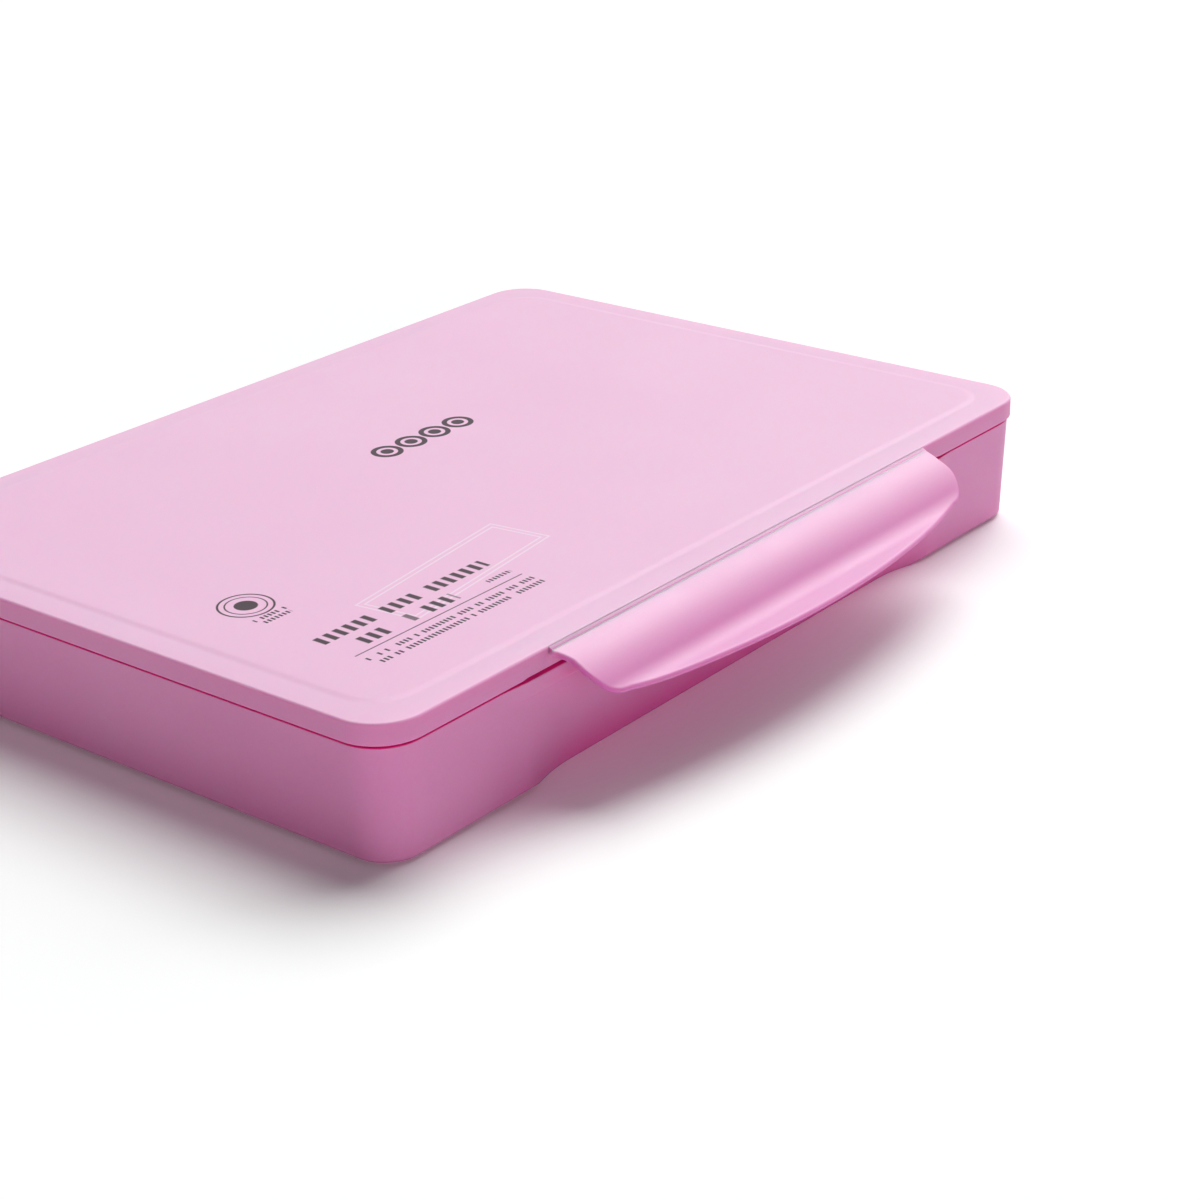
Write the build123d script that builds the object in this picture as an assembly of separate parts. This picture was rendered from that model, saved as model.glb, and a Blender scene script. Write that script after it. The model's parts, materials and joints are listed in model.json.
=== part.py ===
from build123d import *
from math import atan2, degrees
import os

# A hinged box of moulded plastic that carries a grid of square paint cups.
# Millimetres, +Z up, +X along the long front edge, and the latch flap faces -Y.
# The origin lies on the table under the centre of the whole closed box.

# The closed box
lid_length = 335.0
lid_depth = 236.0
lid_corner_radius = 15.3
box_height = 44.9
lid_height = 7.9
wall = 2.0
base_draft = 1.5
seam_gap = 0.5
fit_gap = 0.3

# The lid
lid_overhang = 1.0
lid_top_thickness = 1.9
lid_edge_radius = 0.9
panel_inset = 12.5
panel_rise = 0.4
panel_slope = 3.0
skirt_relief = 0.3
relief_length = 216.0

# The base tray
foot_height = 1.0
foot_inset = 1.6
foot_ring = 9.0
foot_recess = 0.6
floor_thickness = 2.0
base_edge_cut = 1.0
rim_height = 4.4
rim_wall = 1.5
rim_root = 3.0
rim_clearance = 0.4

# The finger scoop and the catch ledge in the tray's front
scoop_depth = 4.6
scoop_top_depth = 0.5
scoop_flat_length = 160.0
scoop_length = 246.0
scoop_lead = 0.3
ledge_height = 4.8
ledge_length = 216.0
ledge_run_out = 9.0

# The latch flap
flap_length = 199.0
flap_reach = 30.6
flap_wall = 2.0
flap_top_drop = 1.1
flap_shoulder_run = 10.5
flap_shoulder_drop = 2.1
flap_lip_run = 21.7
flap_lip_drop = 13.3
flap_bend_radius = 7.0
flap_end_taper = 6.0
flap_corner_reach = 19.6
flap_corner_radius = 8.0
flap_edge_cut = 0.6
hook_length = 150.0
hook_wall = 1.6
hook_reach = 0.8
hook_height = 1.4

# The back hinges
hinge_spacing = 190.0
hinge_pin_radius = 1.5
hinge_pin_clearance = 0.05
hinge_barrel_radius = 3.0
hinge_offset = 3.5
knuckle_length = 24.0
ear_length = 8.0
ear_gap = 0.3
gusset_drop = 7.0
pin_clearance = 0.02

# The cups, their paint and their film lids
columns = 6
rows = 4
tray_margin_x = 7.0
tray_margin_y = 9.5
cup_spacing = 1.0
cup_flange = 1.2
cup_flange_thickness = 1.2
cup_wall = 1.1
cup_draft = 2.2
cup_corner_cut = 5.0
paint_gap = 0.15
paint_headroom = 3.5
film_thickness = 0.3
film_inset = 0.4
rib_thickness = 1.2
rib_height = 7.0

# The mixing palette and the clips that hold it in the lid
palette_thickness = 5.2
palette_floor = 1.6
palette_border = 7.0
palette_web = 4.0
palette_corner_radius = 9.0
palette_edge_gap = 8.3
small_wells = 8
small_well_depth = 38.0
mixing_areas = 3
well_corner_radius = 4.0
palette_headroom = 12.0
clip_width = 14.0
clip_wall = 1.5
clip_nose = 1.1
clip_nose_height = 1.0
clip_spacing = 200.0

# Heights and places that follow from the sizes above
edge_height = box_height - panel_rise
skirt_bottom = edge_height - lid_height + seam_gap
seam_height = edge_height - lid_height
floor_height = foot_height + floor_thickness
lid_underside = edge_height - lid_top_thickness
lid_front = -lid_depth / 2
lid_back = lid_depth / 2
base_length = lid_length - 2 * lid_overhang
base_depth = lid_depth - 2 * lid_overhang
base_corner_radius = lid_corner_radius - lid_overhang
base_front = -base_depth / 2
base_back = base_depth / 2
ledge_bottom = seam_height - ledge_height
rim_offset = wall + rim_clearance
rim_top = seam_height + rim_height
rim_inner_offset = rim_offset + rim_wall
hinge_y = lid_back + hinge_offset
hinge_z = seam_height
hinge_reach = hinge_offset + hinge_barrel_radius
pin_length = knuckle_length + 2 * (ear_length + ear_gap)
flap_axis_y = lid_front - fit_gap - flap_wall / 2
flap_axis_z = edge_height - flap_top_drop - flap_wall / 2
inner_length = base_length - 2 * (wall + base_draft)
inner_depth = base_depth - 2 * (wall + base_draft)
pitch_x = (inner_length - 2 * tray_margin_x) / columns
pitch_y = (inner_depth - 2 * tray_margin_y) / rows
palette_top = lid_underside
palette_bottom = palette_top - palette_thickness
palette_length = lid_length - 2 * palette_edge_gap
palette_depth = lid_depth - 2 * palette_edge_gap
cup_top = palette_bottom - palette_headroom - film_thickness
cup_height = cup_top - floor_height
flange_length = pitch_x - cup_spacing
flange_depth = pitch_y - cup_spacing
cup_length = flange_length - 2 * cup_flange
cup_depth = flange_depth - 2 * cup_flange
centre_y = (flap_reach - hinge_reach) / 2


def prism(length, depth, radius, low, high):
    """A rounded rectangle raised from one height to another."""
    return Pos(0, 0, low) * extrude(RectangleRounded(length, depth, radius), high - low)


def drafted(top, low, high, slope):
    """An outline at the high level, drawn down to the low one with each side set in by the slope."""
    block = Pos(0, 0, high) * extrude(top, low - high)
    sides = block.faces().filter_by(Axis.Z, reverse=True)
    return draft(sides, Plane.XY.offset(high), -degrees(atan2(slope, high - low)))


def cut_corner_outline(length, depth, cut):
    """A rectangle with its four corners cut off straight."""
    outline = Rectangle(length, depth)
    return chamfer(outline.vertices(), cut)


def side_profile(outline, length):
    """A closed outline of (y, z) points, drawn out along X to the given length."""
    face = Plane.YZ * make_face(Polyline(outline, close=True))
    return extrude(face, length / 2, both=True)


def bar_along_x(radius, length):
    """A round bar along X, centred on the origin."""
    return Rot(0, 90, 0) * Cylinder(radius, length)


def hinge_places():
    """The X positions of the two back hinges."""
    return (-hinge_spacing / 2, hinge_spacing / 2)


def hinge_bores(clearance):
    """The pin holes of both hinges, wider than the pin by the clearance."""
    bore = bar_along_x(hinge_pin_radius + clearance, 2 * pin_length)
    return [Pos(x, hinge_y, hinge_z) * bore for x in hinge_places()]


def scoop_section(height, depth):
    """The plan outline of the finger scoop: a straight back with an S curve at each end."""
    start = base_front - scoop_lead
    back = base_front + depth
    outside = lid_front - flap_reach
    end = scoop_length / 2
    flat = scoop_flat_length / 2
    middle = (end + flat) / 2
    edges = [
        Line((-end, outside), (-end, start)),
        Bezier((-end, start), (-middle, start), (-middle, back), (-flat, back)),
        Line((-flat, back), (flat, back)),
        Bezier((flat, back), (middle, back), (middle, start), (end, start)),
        Line((end, start), (end, outside)),
        Line((end, outside), (-end, outside)),
    ]
    return Pos(0, 0, height) * make_face(edges)


def finger_scoop():
    """The hollow in the front wall, deepest at the foot and nearly gone under the ledge."""
    foot = scoop_section(0, scoop_depth + base_draft)
    top = scoop_section(ledge_bottom, scoop_top_depth)
    return loft([foot, top], ruled=True)


def catch_ledge():
    """The band that the latch hook holds under, flush with the lid's face."""
    half = ledge_length / 2
    end = half + ledge_run_out
    root = base_front + wall / 2
    corners = [
        (-end, root),
        (-end, base_front),
        (-half, lid_front),
        (half, lid_front),
        (end, base_front),
        (end, root),
    ]
    return Pos(0, 0, ledge_bottom) * extrude(make_face(Polyline(corners, close=True)), ledge_height)


def locating_ribs():
    """The low ribs on the tray's floor that stand between the cups."""
    ribs = []
    low = floor_height - floor_thickness / 2
    height = rib_height + floor_thickness / 2
    along_y = rows * pitch_y + rib_thickness
    along_x = columns * pitch_x + rib_thickness
    for column in range(columns + 1):
        x = (column - columns / 2) * pitch_x
        ribs.append(Pos(x, 0, low + height / 2) * Box(rib_thickness, along_y, height))
    for row in range(rows + 1):
        y = (row - rows / 2) * pitch_y
        ribs.append(Pos(0, y, low + height / 2) * Box(along_x, rib_thickness, height))
    return ribs


def hinge_ear(x):
    """One base ear: a barrel on a gusset that grows out of the back wall."""
    barrel = Pos(x, hinge_y, hinge_z) * bar_along_x(hinge_barrel_radius, ear_length)
    root = base_back - wall / 2
    low = hinge_z - hinge_barrel_radius
    high = seam_height - fit_gap
    outline = [(root, low - gusset_drop), (hinge_y, low), (hinge_y, high), (root, high)]
    return barrel + Pos(x, 0, 0) * side_profile(outline, ear_length)


def base_tray():
    """The drafted tray with its foot, rim, scoop, ledge, ribs and hinge ears."""
    outline = RectangleRounded(base_length, base_depth, base_corner_radius)
    outer = drafted(outline, foot_height, seam_height, base_draft)
    outer = chamfer(outer.edges().group_by(Axis.Z)[0], base_edge_cut)
    foot_offset = base_draft + foot_inset
    foot_length = base_length - 2 * foot_offset
    foot_depth = base_depth - 2 * foot_offset
    foot_radius = base_corner_radius - foot_offset
    foot = prism(foot_length, foot_depth, foot_radius, 0, foot_height + floor_thickness / 2)
    scoop = finger_scoop()
    inner = RectangleRounded(base_length - 2 * wall, base_depth - 2 * wall, base_corner_radius - wall)
    cavity = drafted(inner, floor_height, seam_height, base_draft)
    cavity -= Pos(0, wall, 0) * scoop
    rim_low = seam_height - rim_root
    rim = prism(
        lid_length - 2 * rim_offset,
        lid_depth - 2 * rim_offset,
        lid_corner_radius - rim_offset,
        rim_low,
        rim_top,
    )
    rim -= prism(
        lid_length - 2 * rim_inner_offset,
        lid_depth - 2 * rim_inner_offset,
        lid_corner_radius - rim_inner_offset,
        rim_low,
        rim_top,
    )
    recess = prism(
        foot_length - 2 * foot_ring,
        foot_depth - 2 * foot_ring,
        foot_radius / 2,
        0,
        foot_recess,
    )
    tray = outer + foot - scoop - cavity - recess
    tray += [rim, catch_ledge(), *locating_ribs()]
    reach = (knuckle_length + ear_length) / 2 + ear_gap
    tray += [hinge_ear(x + side * reach) for x in hinge_places() for side in (-1, 1)]
    return tray - hinge_bores(pin_clearance)


def lid_knuckle(x):
    """One lid knuckle: a barrel on a web that grows out of the back skirt."""
    barrel = Pos(x, hinge_y, hinge_z) * bar_along_x(hinge_barrel_radius, knuckle_length)
    root = lid_back - wall / 2
    top = hinge_z + hinge_barrel_radius
    outline = [(root, skirt_bottom), (hinge_y, skirt_bottom), (hinge_y, top), (root, top)]
    return barrel + Pos(x, 0, 0) * side_profile(outline, knuckle_length)


def palette_clip():
    """A clip that hangs from the lid, with its nose towards -Y under the palette's edge."""
    top = palette_bottom - fit_gap
    bottom = top - clip_nose_height
    root = lid_underside + lid_top_thickness / 2
    outline = [
        (0, root),
        (clip_wall, root),
        (clip_wall, bottom),
        (0, bottom),
        (-clip_nose, bottom + clip_nose_height / 2),
        (-clip_nose, top),
        (0, top),
    ]
    return side_profile(outline, clip_width)


def palette_clips():
    """Two clips on each long side of the lid and one on each short side."""
    clip = palette_clip()
    out_y = palette_depth / 2 + fit_gap
    out_x = palette_length / 2 + fit_gap
    clips = [Pos(out_x, 0, 0) * Rot(0, 0, -90) * clip, Pos(-out_x, 0, 0) * Rot(0, 0, 90) * clip]
    for x in (-clip_spacing / 2, clip_spacing / 2):
        clips.append(Pos(x, out_y, 0) * clip)
        clips.append(Pos(x, -out_y, 0) * Rot(0, 0, 180) * clip)
    return clips


def raised_panel():
    """The lid's central panel, which a soft slope lifts just above the rim band."""
    inset = panel_inset + panel_slope
    low = RectangleRounded(lid_length - 2 * panel_inset, lid_depth - 2 * panel_inset, lid_corner_radius)
    high = RectangleRounded(lid_length - 2 * inset, lid_depth - 2 * inset, lid_corner_radius - panel_slope)
    return loft([Pos(0, 0, edge_height) * low, Pos(0, 0, box_height) * high], ruled=True)


def lid():
    """The shallow cap with its raised panel, skirt relief, palette clips and knuckles."""
    outer = prism(lid_length, lid_depth, lid_corner_radius, skirt_bottom, edge_height)
    outer = fillet(outer.edges().group_by(Axis.Z)[-1], lid_edge_radius)
    hollow = prism(
        lid_length - 2 * wall,
        lid_depth - 2 * wall,
        lid_corner_radius - wall,
        skirt_bottom,
        lid_underside,
    )
    relief = Pos(0, lid_front, skirt_bottom) * Box(relief_length, 3 * wall, 2 * skirt_relief)
    cap = outer + raised_panel() - hollow - relief
    cap += palette_clips()
    cap += [lid_knuckle(x) for x in hinge_places()]
    return cap - hinge_bores(hinge_pin_clearance)


def hinge_pin(x):
    """One hinge pin, as long as the knuckle, its two ears and the gaps between them."""
    return Pos(x, hinge_y, hinge_z) * bar_along_x(hinge_pin_radius, pin_length)


def flap_plan():
    """The half-moon plan of the flap: tapered ends, round corners and a bowed front."""
    root = flap_axis_y + flap_wall
    corner = lid_front - flap_corner_reach
    front = lid_front - flap_reach
    half = flap_length / 2
    tip = half - flap_end_taper
    outline = [
        Line((-half, root), (half, root)),
        Line((half, root), (tip, corner)),
        ThreePointArc((tip, corner), (0, front), (-tip, corner)),
        Line((-tip, corner), (-half, root)),
    ]
    plan = make_face(outline)
    return fillet(plan.vertices().group_by(Axis.Y)[0], flap_corner_radius)


def flap_shell():
    """The flap's S-curved section with a round bead at its root, drawn out along X."""
    y = flap_axis_y
    z = flap_axis_z
    centre_line = FilletPolyline(
        (y, z),
        (y - flap_shoulder_run, z - flap_shoulder_drop),
        (y - flap_lip_run, z - flap_lip_drop),
        (lid_front - flap_reach - flap_wall, z - flap_lip_drop),
        radius=flap_bend_radius,
    )
    section = make_face(centre_line.offset_2d(flap_wall / 2))
    return extrude(Plane.YZ * section, flap_length / 2, both=True)


def hook_rib():
    """The rib that hangs under the flap and hooks below the catch ledge."""
    face = lid_front - fit_gap
    back = face - hook_wall
    top = ledge_bottom - fit_gap
    bottom = top - hook_height
    nose = lid_front + hook_reach
    outline = [
        (face, flap_axis_z),
        (face, top),
        (nose, top),
        (nose, top - hook_height / 2),
        (face, bottom),
        (back, bottom),
        (back, flap_axis_z),
    ]
    return side_profile(outline, hook_length)


def latch_flap():
    """The lift flap: an S-curved half-moon that turns about the bead along its root."""
    low = ledge_bottom - box_height
    plan = Pos(0, 0, low) * extrude(flap_plan(), 2 * box_height)
    shell = flap_shell() & plan
    lip = shell.faces().filter_by(GeomType.CYLINDER).sort_by(Axis.Y)[0]
    shell = chamfer(lip.edges().sort_by(SortBy.LENGTH)[-2:], flap_edge_cut)
    return shell + hook_rib()


def cup_form(inset, low, high):
    """The cup's tapered form between two heights, inside its outer face by the inset."""
    slope = cup_draft / cup_height
    shrink = slope * (cup_top - high) + inset
    outline = cut_corner_outline(cup_length - 2 * shrink, cup_depth - 2 * shrink, cup_corner_cut - inset)
    return drafted(outline, low, high, slope * (high - low))


def cup():
    """One open square cup with a flat flange round its mouth."""
    body = cup_form(0, floor_height, cup_top)
    outline = cut_corner_outline(flange_length, flange_depth, cup_corner_cut)
    flange = Pos(0, 0, cup_top - cup_flange_thickness) * extrude(outline, cup_flange_thickness)
    return body + flange - cup_form(cup_wall, floor_height + cup_wall, cup_top)


def paint_fill():
    """The gouache in one cup, clear of its walls by the paint gap."""
    return cup_form(cup_wall + paint_gap, floor_height + cup_wall, cup_top - paint_headroom)


def film_lid():
    """The thin film sealed on one cup's flange."""
    outline = cut_corner_outline(flange_length - 2 * film_inset, flange_depth - 2 * film_inset, cup_corner_cut)
    return Pos(0, 0, cup_top) * extrude(outline, film_thickness)


def well(length, depth):
    """A pocket in the palette's face, open downwards."""
    top = palette_top - palette_floor
    return prism(length, depth, well_corner_radius, palette_bottom, top)


def mixing_palette():
    """The palette with a row of small wells and a row of mixing areas, facing down."""
    plate = prism(palette_length, palette_depth, palette_corner_radius, palette_bottom, palette_top)
    usable = palette_length - 2 * palette_border + palette_web
    low_y = -palette_depth / 2 + palette_border
    small_pitch = usable / small_wells
    small = well(small_pitch - palette_web, small_well_depth)
    for number in range(small_wells):
        x = (number - (small_wells - 1) / 2) * small_pitch
        plate -= Pos(x, low_y + small_well_depth / 2, 0) * small
    area_depth = palette_depth - 2 * palette_border - small_well_depth - palette_web
    area_pitch = usable / mixing_areas
    area = well(area_pitch - palette_web, area_depth)
    area_y = low_y + small_well_depth + palette_web + area_depth / 2
    for number in range(mixing_areas):
        x = (number - (mixing_areas - 1) / 2) * area_pitch
        plate -= Pos(x, area_y, 0) * area
    return plate


def save(name, solid):
    """Moves a piece from the lid's centre to the box's own origin and writes it."""
    export_step(Pos(0, centre_y, 0) * solid, f"parts/{name}.step")


def main():
    """Builds every piece and writes one file for each."""
    os.makedirs("parts", exist_ok=True)
    save("base_tray", base_tray())
    save("lid", lid())
    save("latch_flap", latch_flap())
    save("mixing_palette", mixing_palette())
    for name, x in zip(("left", "right"), hinge_places()):
        save(f"hinge_pin_{name}", hinge_pin(x))
    one_cup = cup()
    one_paint = paint_fill()
    one_film = film_lid()
    for row in range(rows):
        y = (row - (rows - 1) / 2) * pitch_y
        films = []
        for column in range(columns):
            x = (column - (columns - 1) / 2) * pitch_x
            place = f"row_{row + 1}_column_{column + 1}"
            save(f"cup_{place}", Pos(x, y, 0) * one_cup)
            save(f"paint_{place}", Pos(x, y, 0) * one_paint)
            films.append(Pos(x, y, 0) * one_film)
        save(f"film_lids_row_{row + 1}", Compound(children=films))


main()
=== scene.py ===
"""Dresses a hinged case of gouache cups and sets it in a plain pale studio."""

import json
import math

import bmesh
import bpy
from bpy.props import FloatProperty, FloatVectorProperty, IntProperty, PointerProperty
from mathutils import Matrix, Vector, noise


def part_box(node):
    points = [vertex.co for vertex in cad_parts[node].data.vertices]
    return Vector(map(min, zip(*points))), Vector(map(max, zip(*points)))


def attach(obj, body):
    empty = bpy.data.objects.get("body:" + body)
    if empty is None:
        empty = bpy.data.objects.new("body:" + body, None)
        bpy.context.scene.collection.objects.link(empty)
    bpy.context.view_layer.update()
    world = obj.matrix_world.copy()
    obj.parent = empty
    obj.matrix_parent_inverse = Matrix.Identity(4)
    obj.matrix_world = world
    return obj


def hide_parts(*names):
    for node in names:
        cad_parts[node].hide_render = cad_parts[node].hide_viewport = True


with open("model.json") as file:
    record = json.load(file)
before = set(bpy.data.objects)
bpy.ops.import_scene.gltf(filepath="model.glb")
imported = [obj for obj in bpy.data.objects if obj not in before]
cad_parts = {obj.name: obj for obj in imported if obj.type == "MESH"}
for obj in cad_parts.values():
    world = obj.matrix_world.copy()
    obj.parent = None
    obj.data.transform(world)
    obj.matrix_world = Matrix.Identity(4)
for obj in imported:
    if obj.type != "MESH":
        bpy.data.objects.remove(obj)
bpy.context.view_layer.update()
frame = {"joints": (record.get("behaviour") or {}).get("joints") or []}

bl_info = {
    "name": "Gouache paint box",
    "version": (1, 0, 0),
    "blender": (4, 5, 0),
    "location": "View3D > Sidebar > Paint Box",
    "description": "Dresses a hinged case of gouache cups and sets its studio",
    "category": "Add Mesh",
}

MM = 0.001
BASE = "base"
LID = "lid"
FLAP = "latch_flap"
ROWS = 4
COLUMNS = 6

JOINTS = {joint["name"]: joint for joint in frame["joints"]}
HINGE = Vector(JOINTS["lid_hinge"]["pos_m"])
FLAP_AXIS = Vector(JOINTS["flap_hinge"]["pos_m"])
LID_LOW, LID_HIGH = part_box("lid")
FLAP_LOW, FLAP_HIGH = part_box("latch_flap")
PALETTE_LOW, PALETTE_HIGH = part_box("mixing_palette")

# The closed box: the lid's outline, and the heights where the two halves meet.
HINGE_OFFSET = 3.5 * MM
LID_LENGTH = LID_HIGH.x - LID_LOW.x
LID_FRONT = LID_LOW.y
LID_BACK = HINGE.y - HINGE_OFFSET
LID_DEPTH = LID_BACK - LID_FRONT
LID_CENTRE = Vector((0, (LID_FRONT + LID_BACK) / 2, 0))
PANEL_TOP = LID_HIGH.z
SEAM = HINGE.z
RIM_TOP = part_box("base_tray")[1].z

# The play left between parts that pass each other, and the room round each pin.
FIT_GAP = 0.3 * MM
KNUCKLE_PLAY = 0.05 * MM
EAR_PLAY = 0.02 * MM

# Where the points of the flap's rounded edge lie, as shares of its width.
EDGE_SHARES = (0.0, 0.04, 0.15, 0.35, 0.65)

# How near another surface has to be for the painted shade to deepen the pink.
SHADE_REACH = 24 * MM
SEAM_SHADE_REACH = 4 * MM

# Where shade is painted on the case, in millimetres, and by what share: in every hollow, along the seam,
# in the scoop behind the flap, on the flap beyond its root, and on the web between the lid and the flap,
# which also gets a painted highlight.
HOLLOW_SHADE = 0.12
SEAM_SHADE = {"middle": 0.55, "half": 0.72, "soft": 0.15, "behind": 0.3, "behind_soft": 0.2, "gain": 3.0}
SCOOP_SHADE = {"half": 100.0, "fade": 50.0, "behind": 10.0, "below": 1.0, "soft": 4.0, "share": 0.85}
FLAP_SHADE = {
    "start": 3.0, "start_soft": 2.0, "lip": 20.0, "lip_soft": 4.0,
    "share": 0.05, "lip_share": 0.25, "steep_share": 0.46,
}
WEB_SHADE_AND_HIGHLIGHT = {"start": 0.02, "depth": 3.6, "share": 0.3, "line": 1.1, "highlight_share": 0.8}

# Print on the lid: what lies where, in millimetres from the box's own origin. Each kind of line has its
# height, the pitch of its dashes, a seed, and the left end, right end and middle of each line.
TITLE_DOTS = {"first": -9.0, "pitch": 12.0, "count": 4, "y": 39.0, "radius": 5.6, "line": 1.9, "core": 2.3}
SEAL = {"x": -129.2, "y": -15.8, "radius": 8.4, "line": 0.7, "inner": 2.1, "inner_line": 0.5, "core": 3.6}
LARGE_LINES = ((-136.5, -64.0, -51.8), (-136.5, -88.0, -61.2))
SMALL_LINES = ((-136.5, -64.0, -71.1), (-136.5, -64.0, -75.1))
NOTE_LINES = ((-136.0, -122.7, -26.2), (-136.0, -124.0, -29.2), (-74.5, -64.0, -62.3))
LINES = (
    {"height": 5.4, "pitch": 3.9, "seed": 1.5, "lines": LARGE_LINES},
    {"height": 2.1, "pitch": 1.55, "seed": 4.5, "lines": SMALL_LINES},
    {"height": 1.9, "pitch": 1.5, "seed": 8.5, "lines": NOTE_LINES},
)
RULE = {"left": -136.5, "right": -63.8, "y": -66.8, "height": 0.45}
LABEL_FRAME = {"x": -73.0, "y": -48.2, "half_length": 36.0, "half_depth": 10.9, "turn": 7.5, "step": 1.9}

# The gouache in each cup, row by row from the front, as scene-linear colours.
GOUACHE = {
    "white": (0.86, 0.85, 0.82),
    "lemon_yellow": (0.90, 0.70, 0.04),
    "warm_yellow": (0.91, 0.40, 0.015),
    "orange": (0.85, 0.15, 0.012),
    "vermilion": (0.66, 0.035, 0.015),
    "crimson": (0.36, 0.010, 0.022),
    "rose_pink": (0.80, 0.15, 0.27),
    "magenta": (0.42, 0.015, 0.13),
    "violet": (0.10, 0.022, 0.19),
    "lilac": (0.38, 0.24, 0.56),
    "ultramarine": (0.013, 0.022, 0.24),
    "cobalt_blue": (0.010, 0.065, 0.40),
    "sky_blue": (0.14, 0.44, 0.72),
    "turquoise": (0.010, 0.26, 0.31),
    "mint": (0.29, 0.64, 0.48),
    "deep_green": (0.005, 0.080, 0.042),
    "leaf_green": (0.050, 0.26, 0.040),
    "yellow_green": (0.32, 0.50, 0.040),
    "yellow_ochre": (0.56, 0.29, 0.055),
    "skin_tone": (0.84, 0.50, 0.32),
    "red_brown": (0.24, 0.055, 0.020),
    "dark_brown": (0.065, 0.025, 0.014),
    "cool_grey": (0.24, 0.26, 0.29),
    "black": (0.009, 0.009, 0.010),
}

# The camera: its place, lens, sensor and clipping in millimetres, and three turns in radians.
CAMERA = {
    "place": (-610.0, -540.9, 350.7), "yaw": -0.888, "pitch": 0.411, "roll": -0.026,
    "lens": 78.46, "sensor": 36.0, "near": 10.0, "far": 100000.0,
}

# The lamps: the way each shines from, its strength and how wide it looks, in degrees. Then the light of the
# room itself, how much brighter the floor is seen than it shines, and the floor's radius in metres.
LAMPS = {
    "overhead": {"from": (0.60, 0.27, 1.0), "strength": 2.5, "angle": 46.0},
    "right": {"from": (1.0, 0.0, 0.62), "strength": 1.0, "angle": 45.0},
    "fill": {"from": (-0.70, -1.0, 0.10), "strength": 1.25, "angle": 50.0},
}
ROOM_LIGHT = 0.056
FLOOR_GAIN = 1.13
FLOOR_RADIUS = 30.0


def length(name, description, millimetres):
    """A length property with its default in millimetres."""
    return FloatProperty(name=name, description=description, default=millimetres * MM, unit="LENGTH")


def colour(name, description, value):
    """A scene-linear colour property."""
    return FloatVectorProperty(
        name=name, description=description, default=value, size=3, min=0, max=1, subtype="COLOR"
    )


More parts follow.
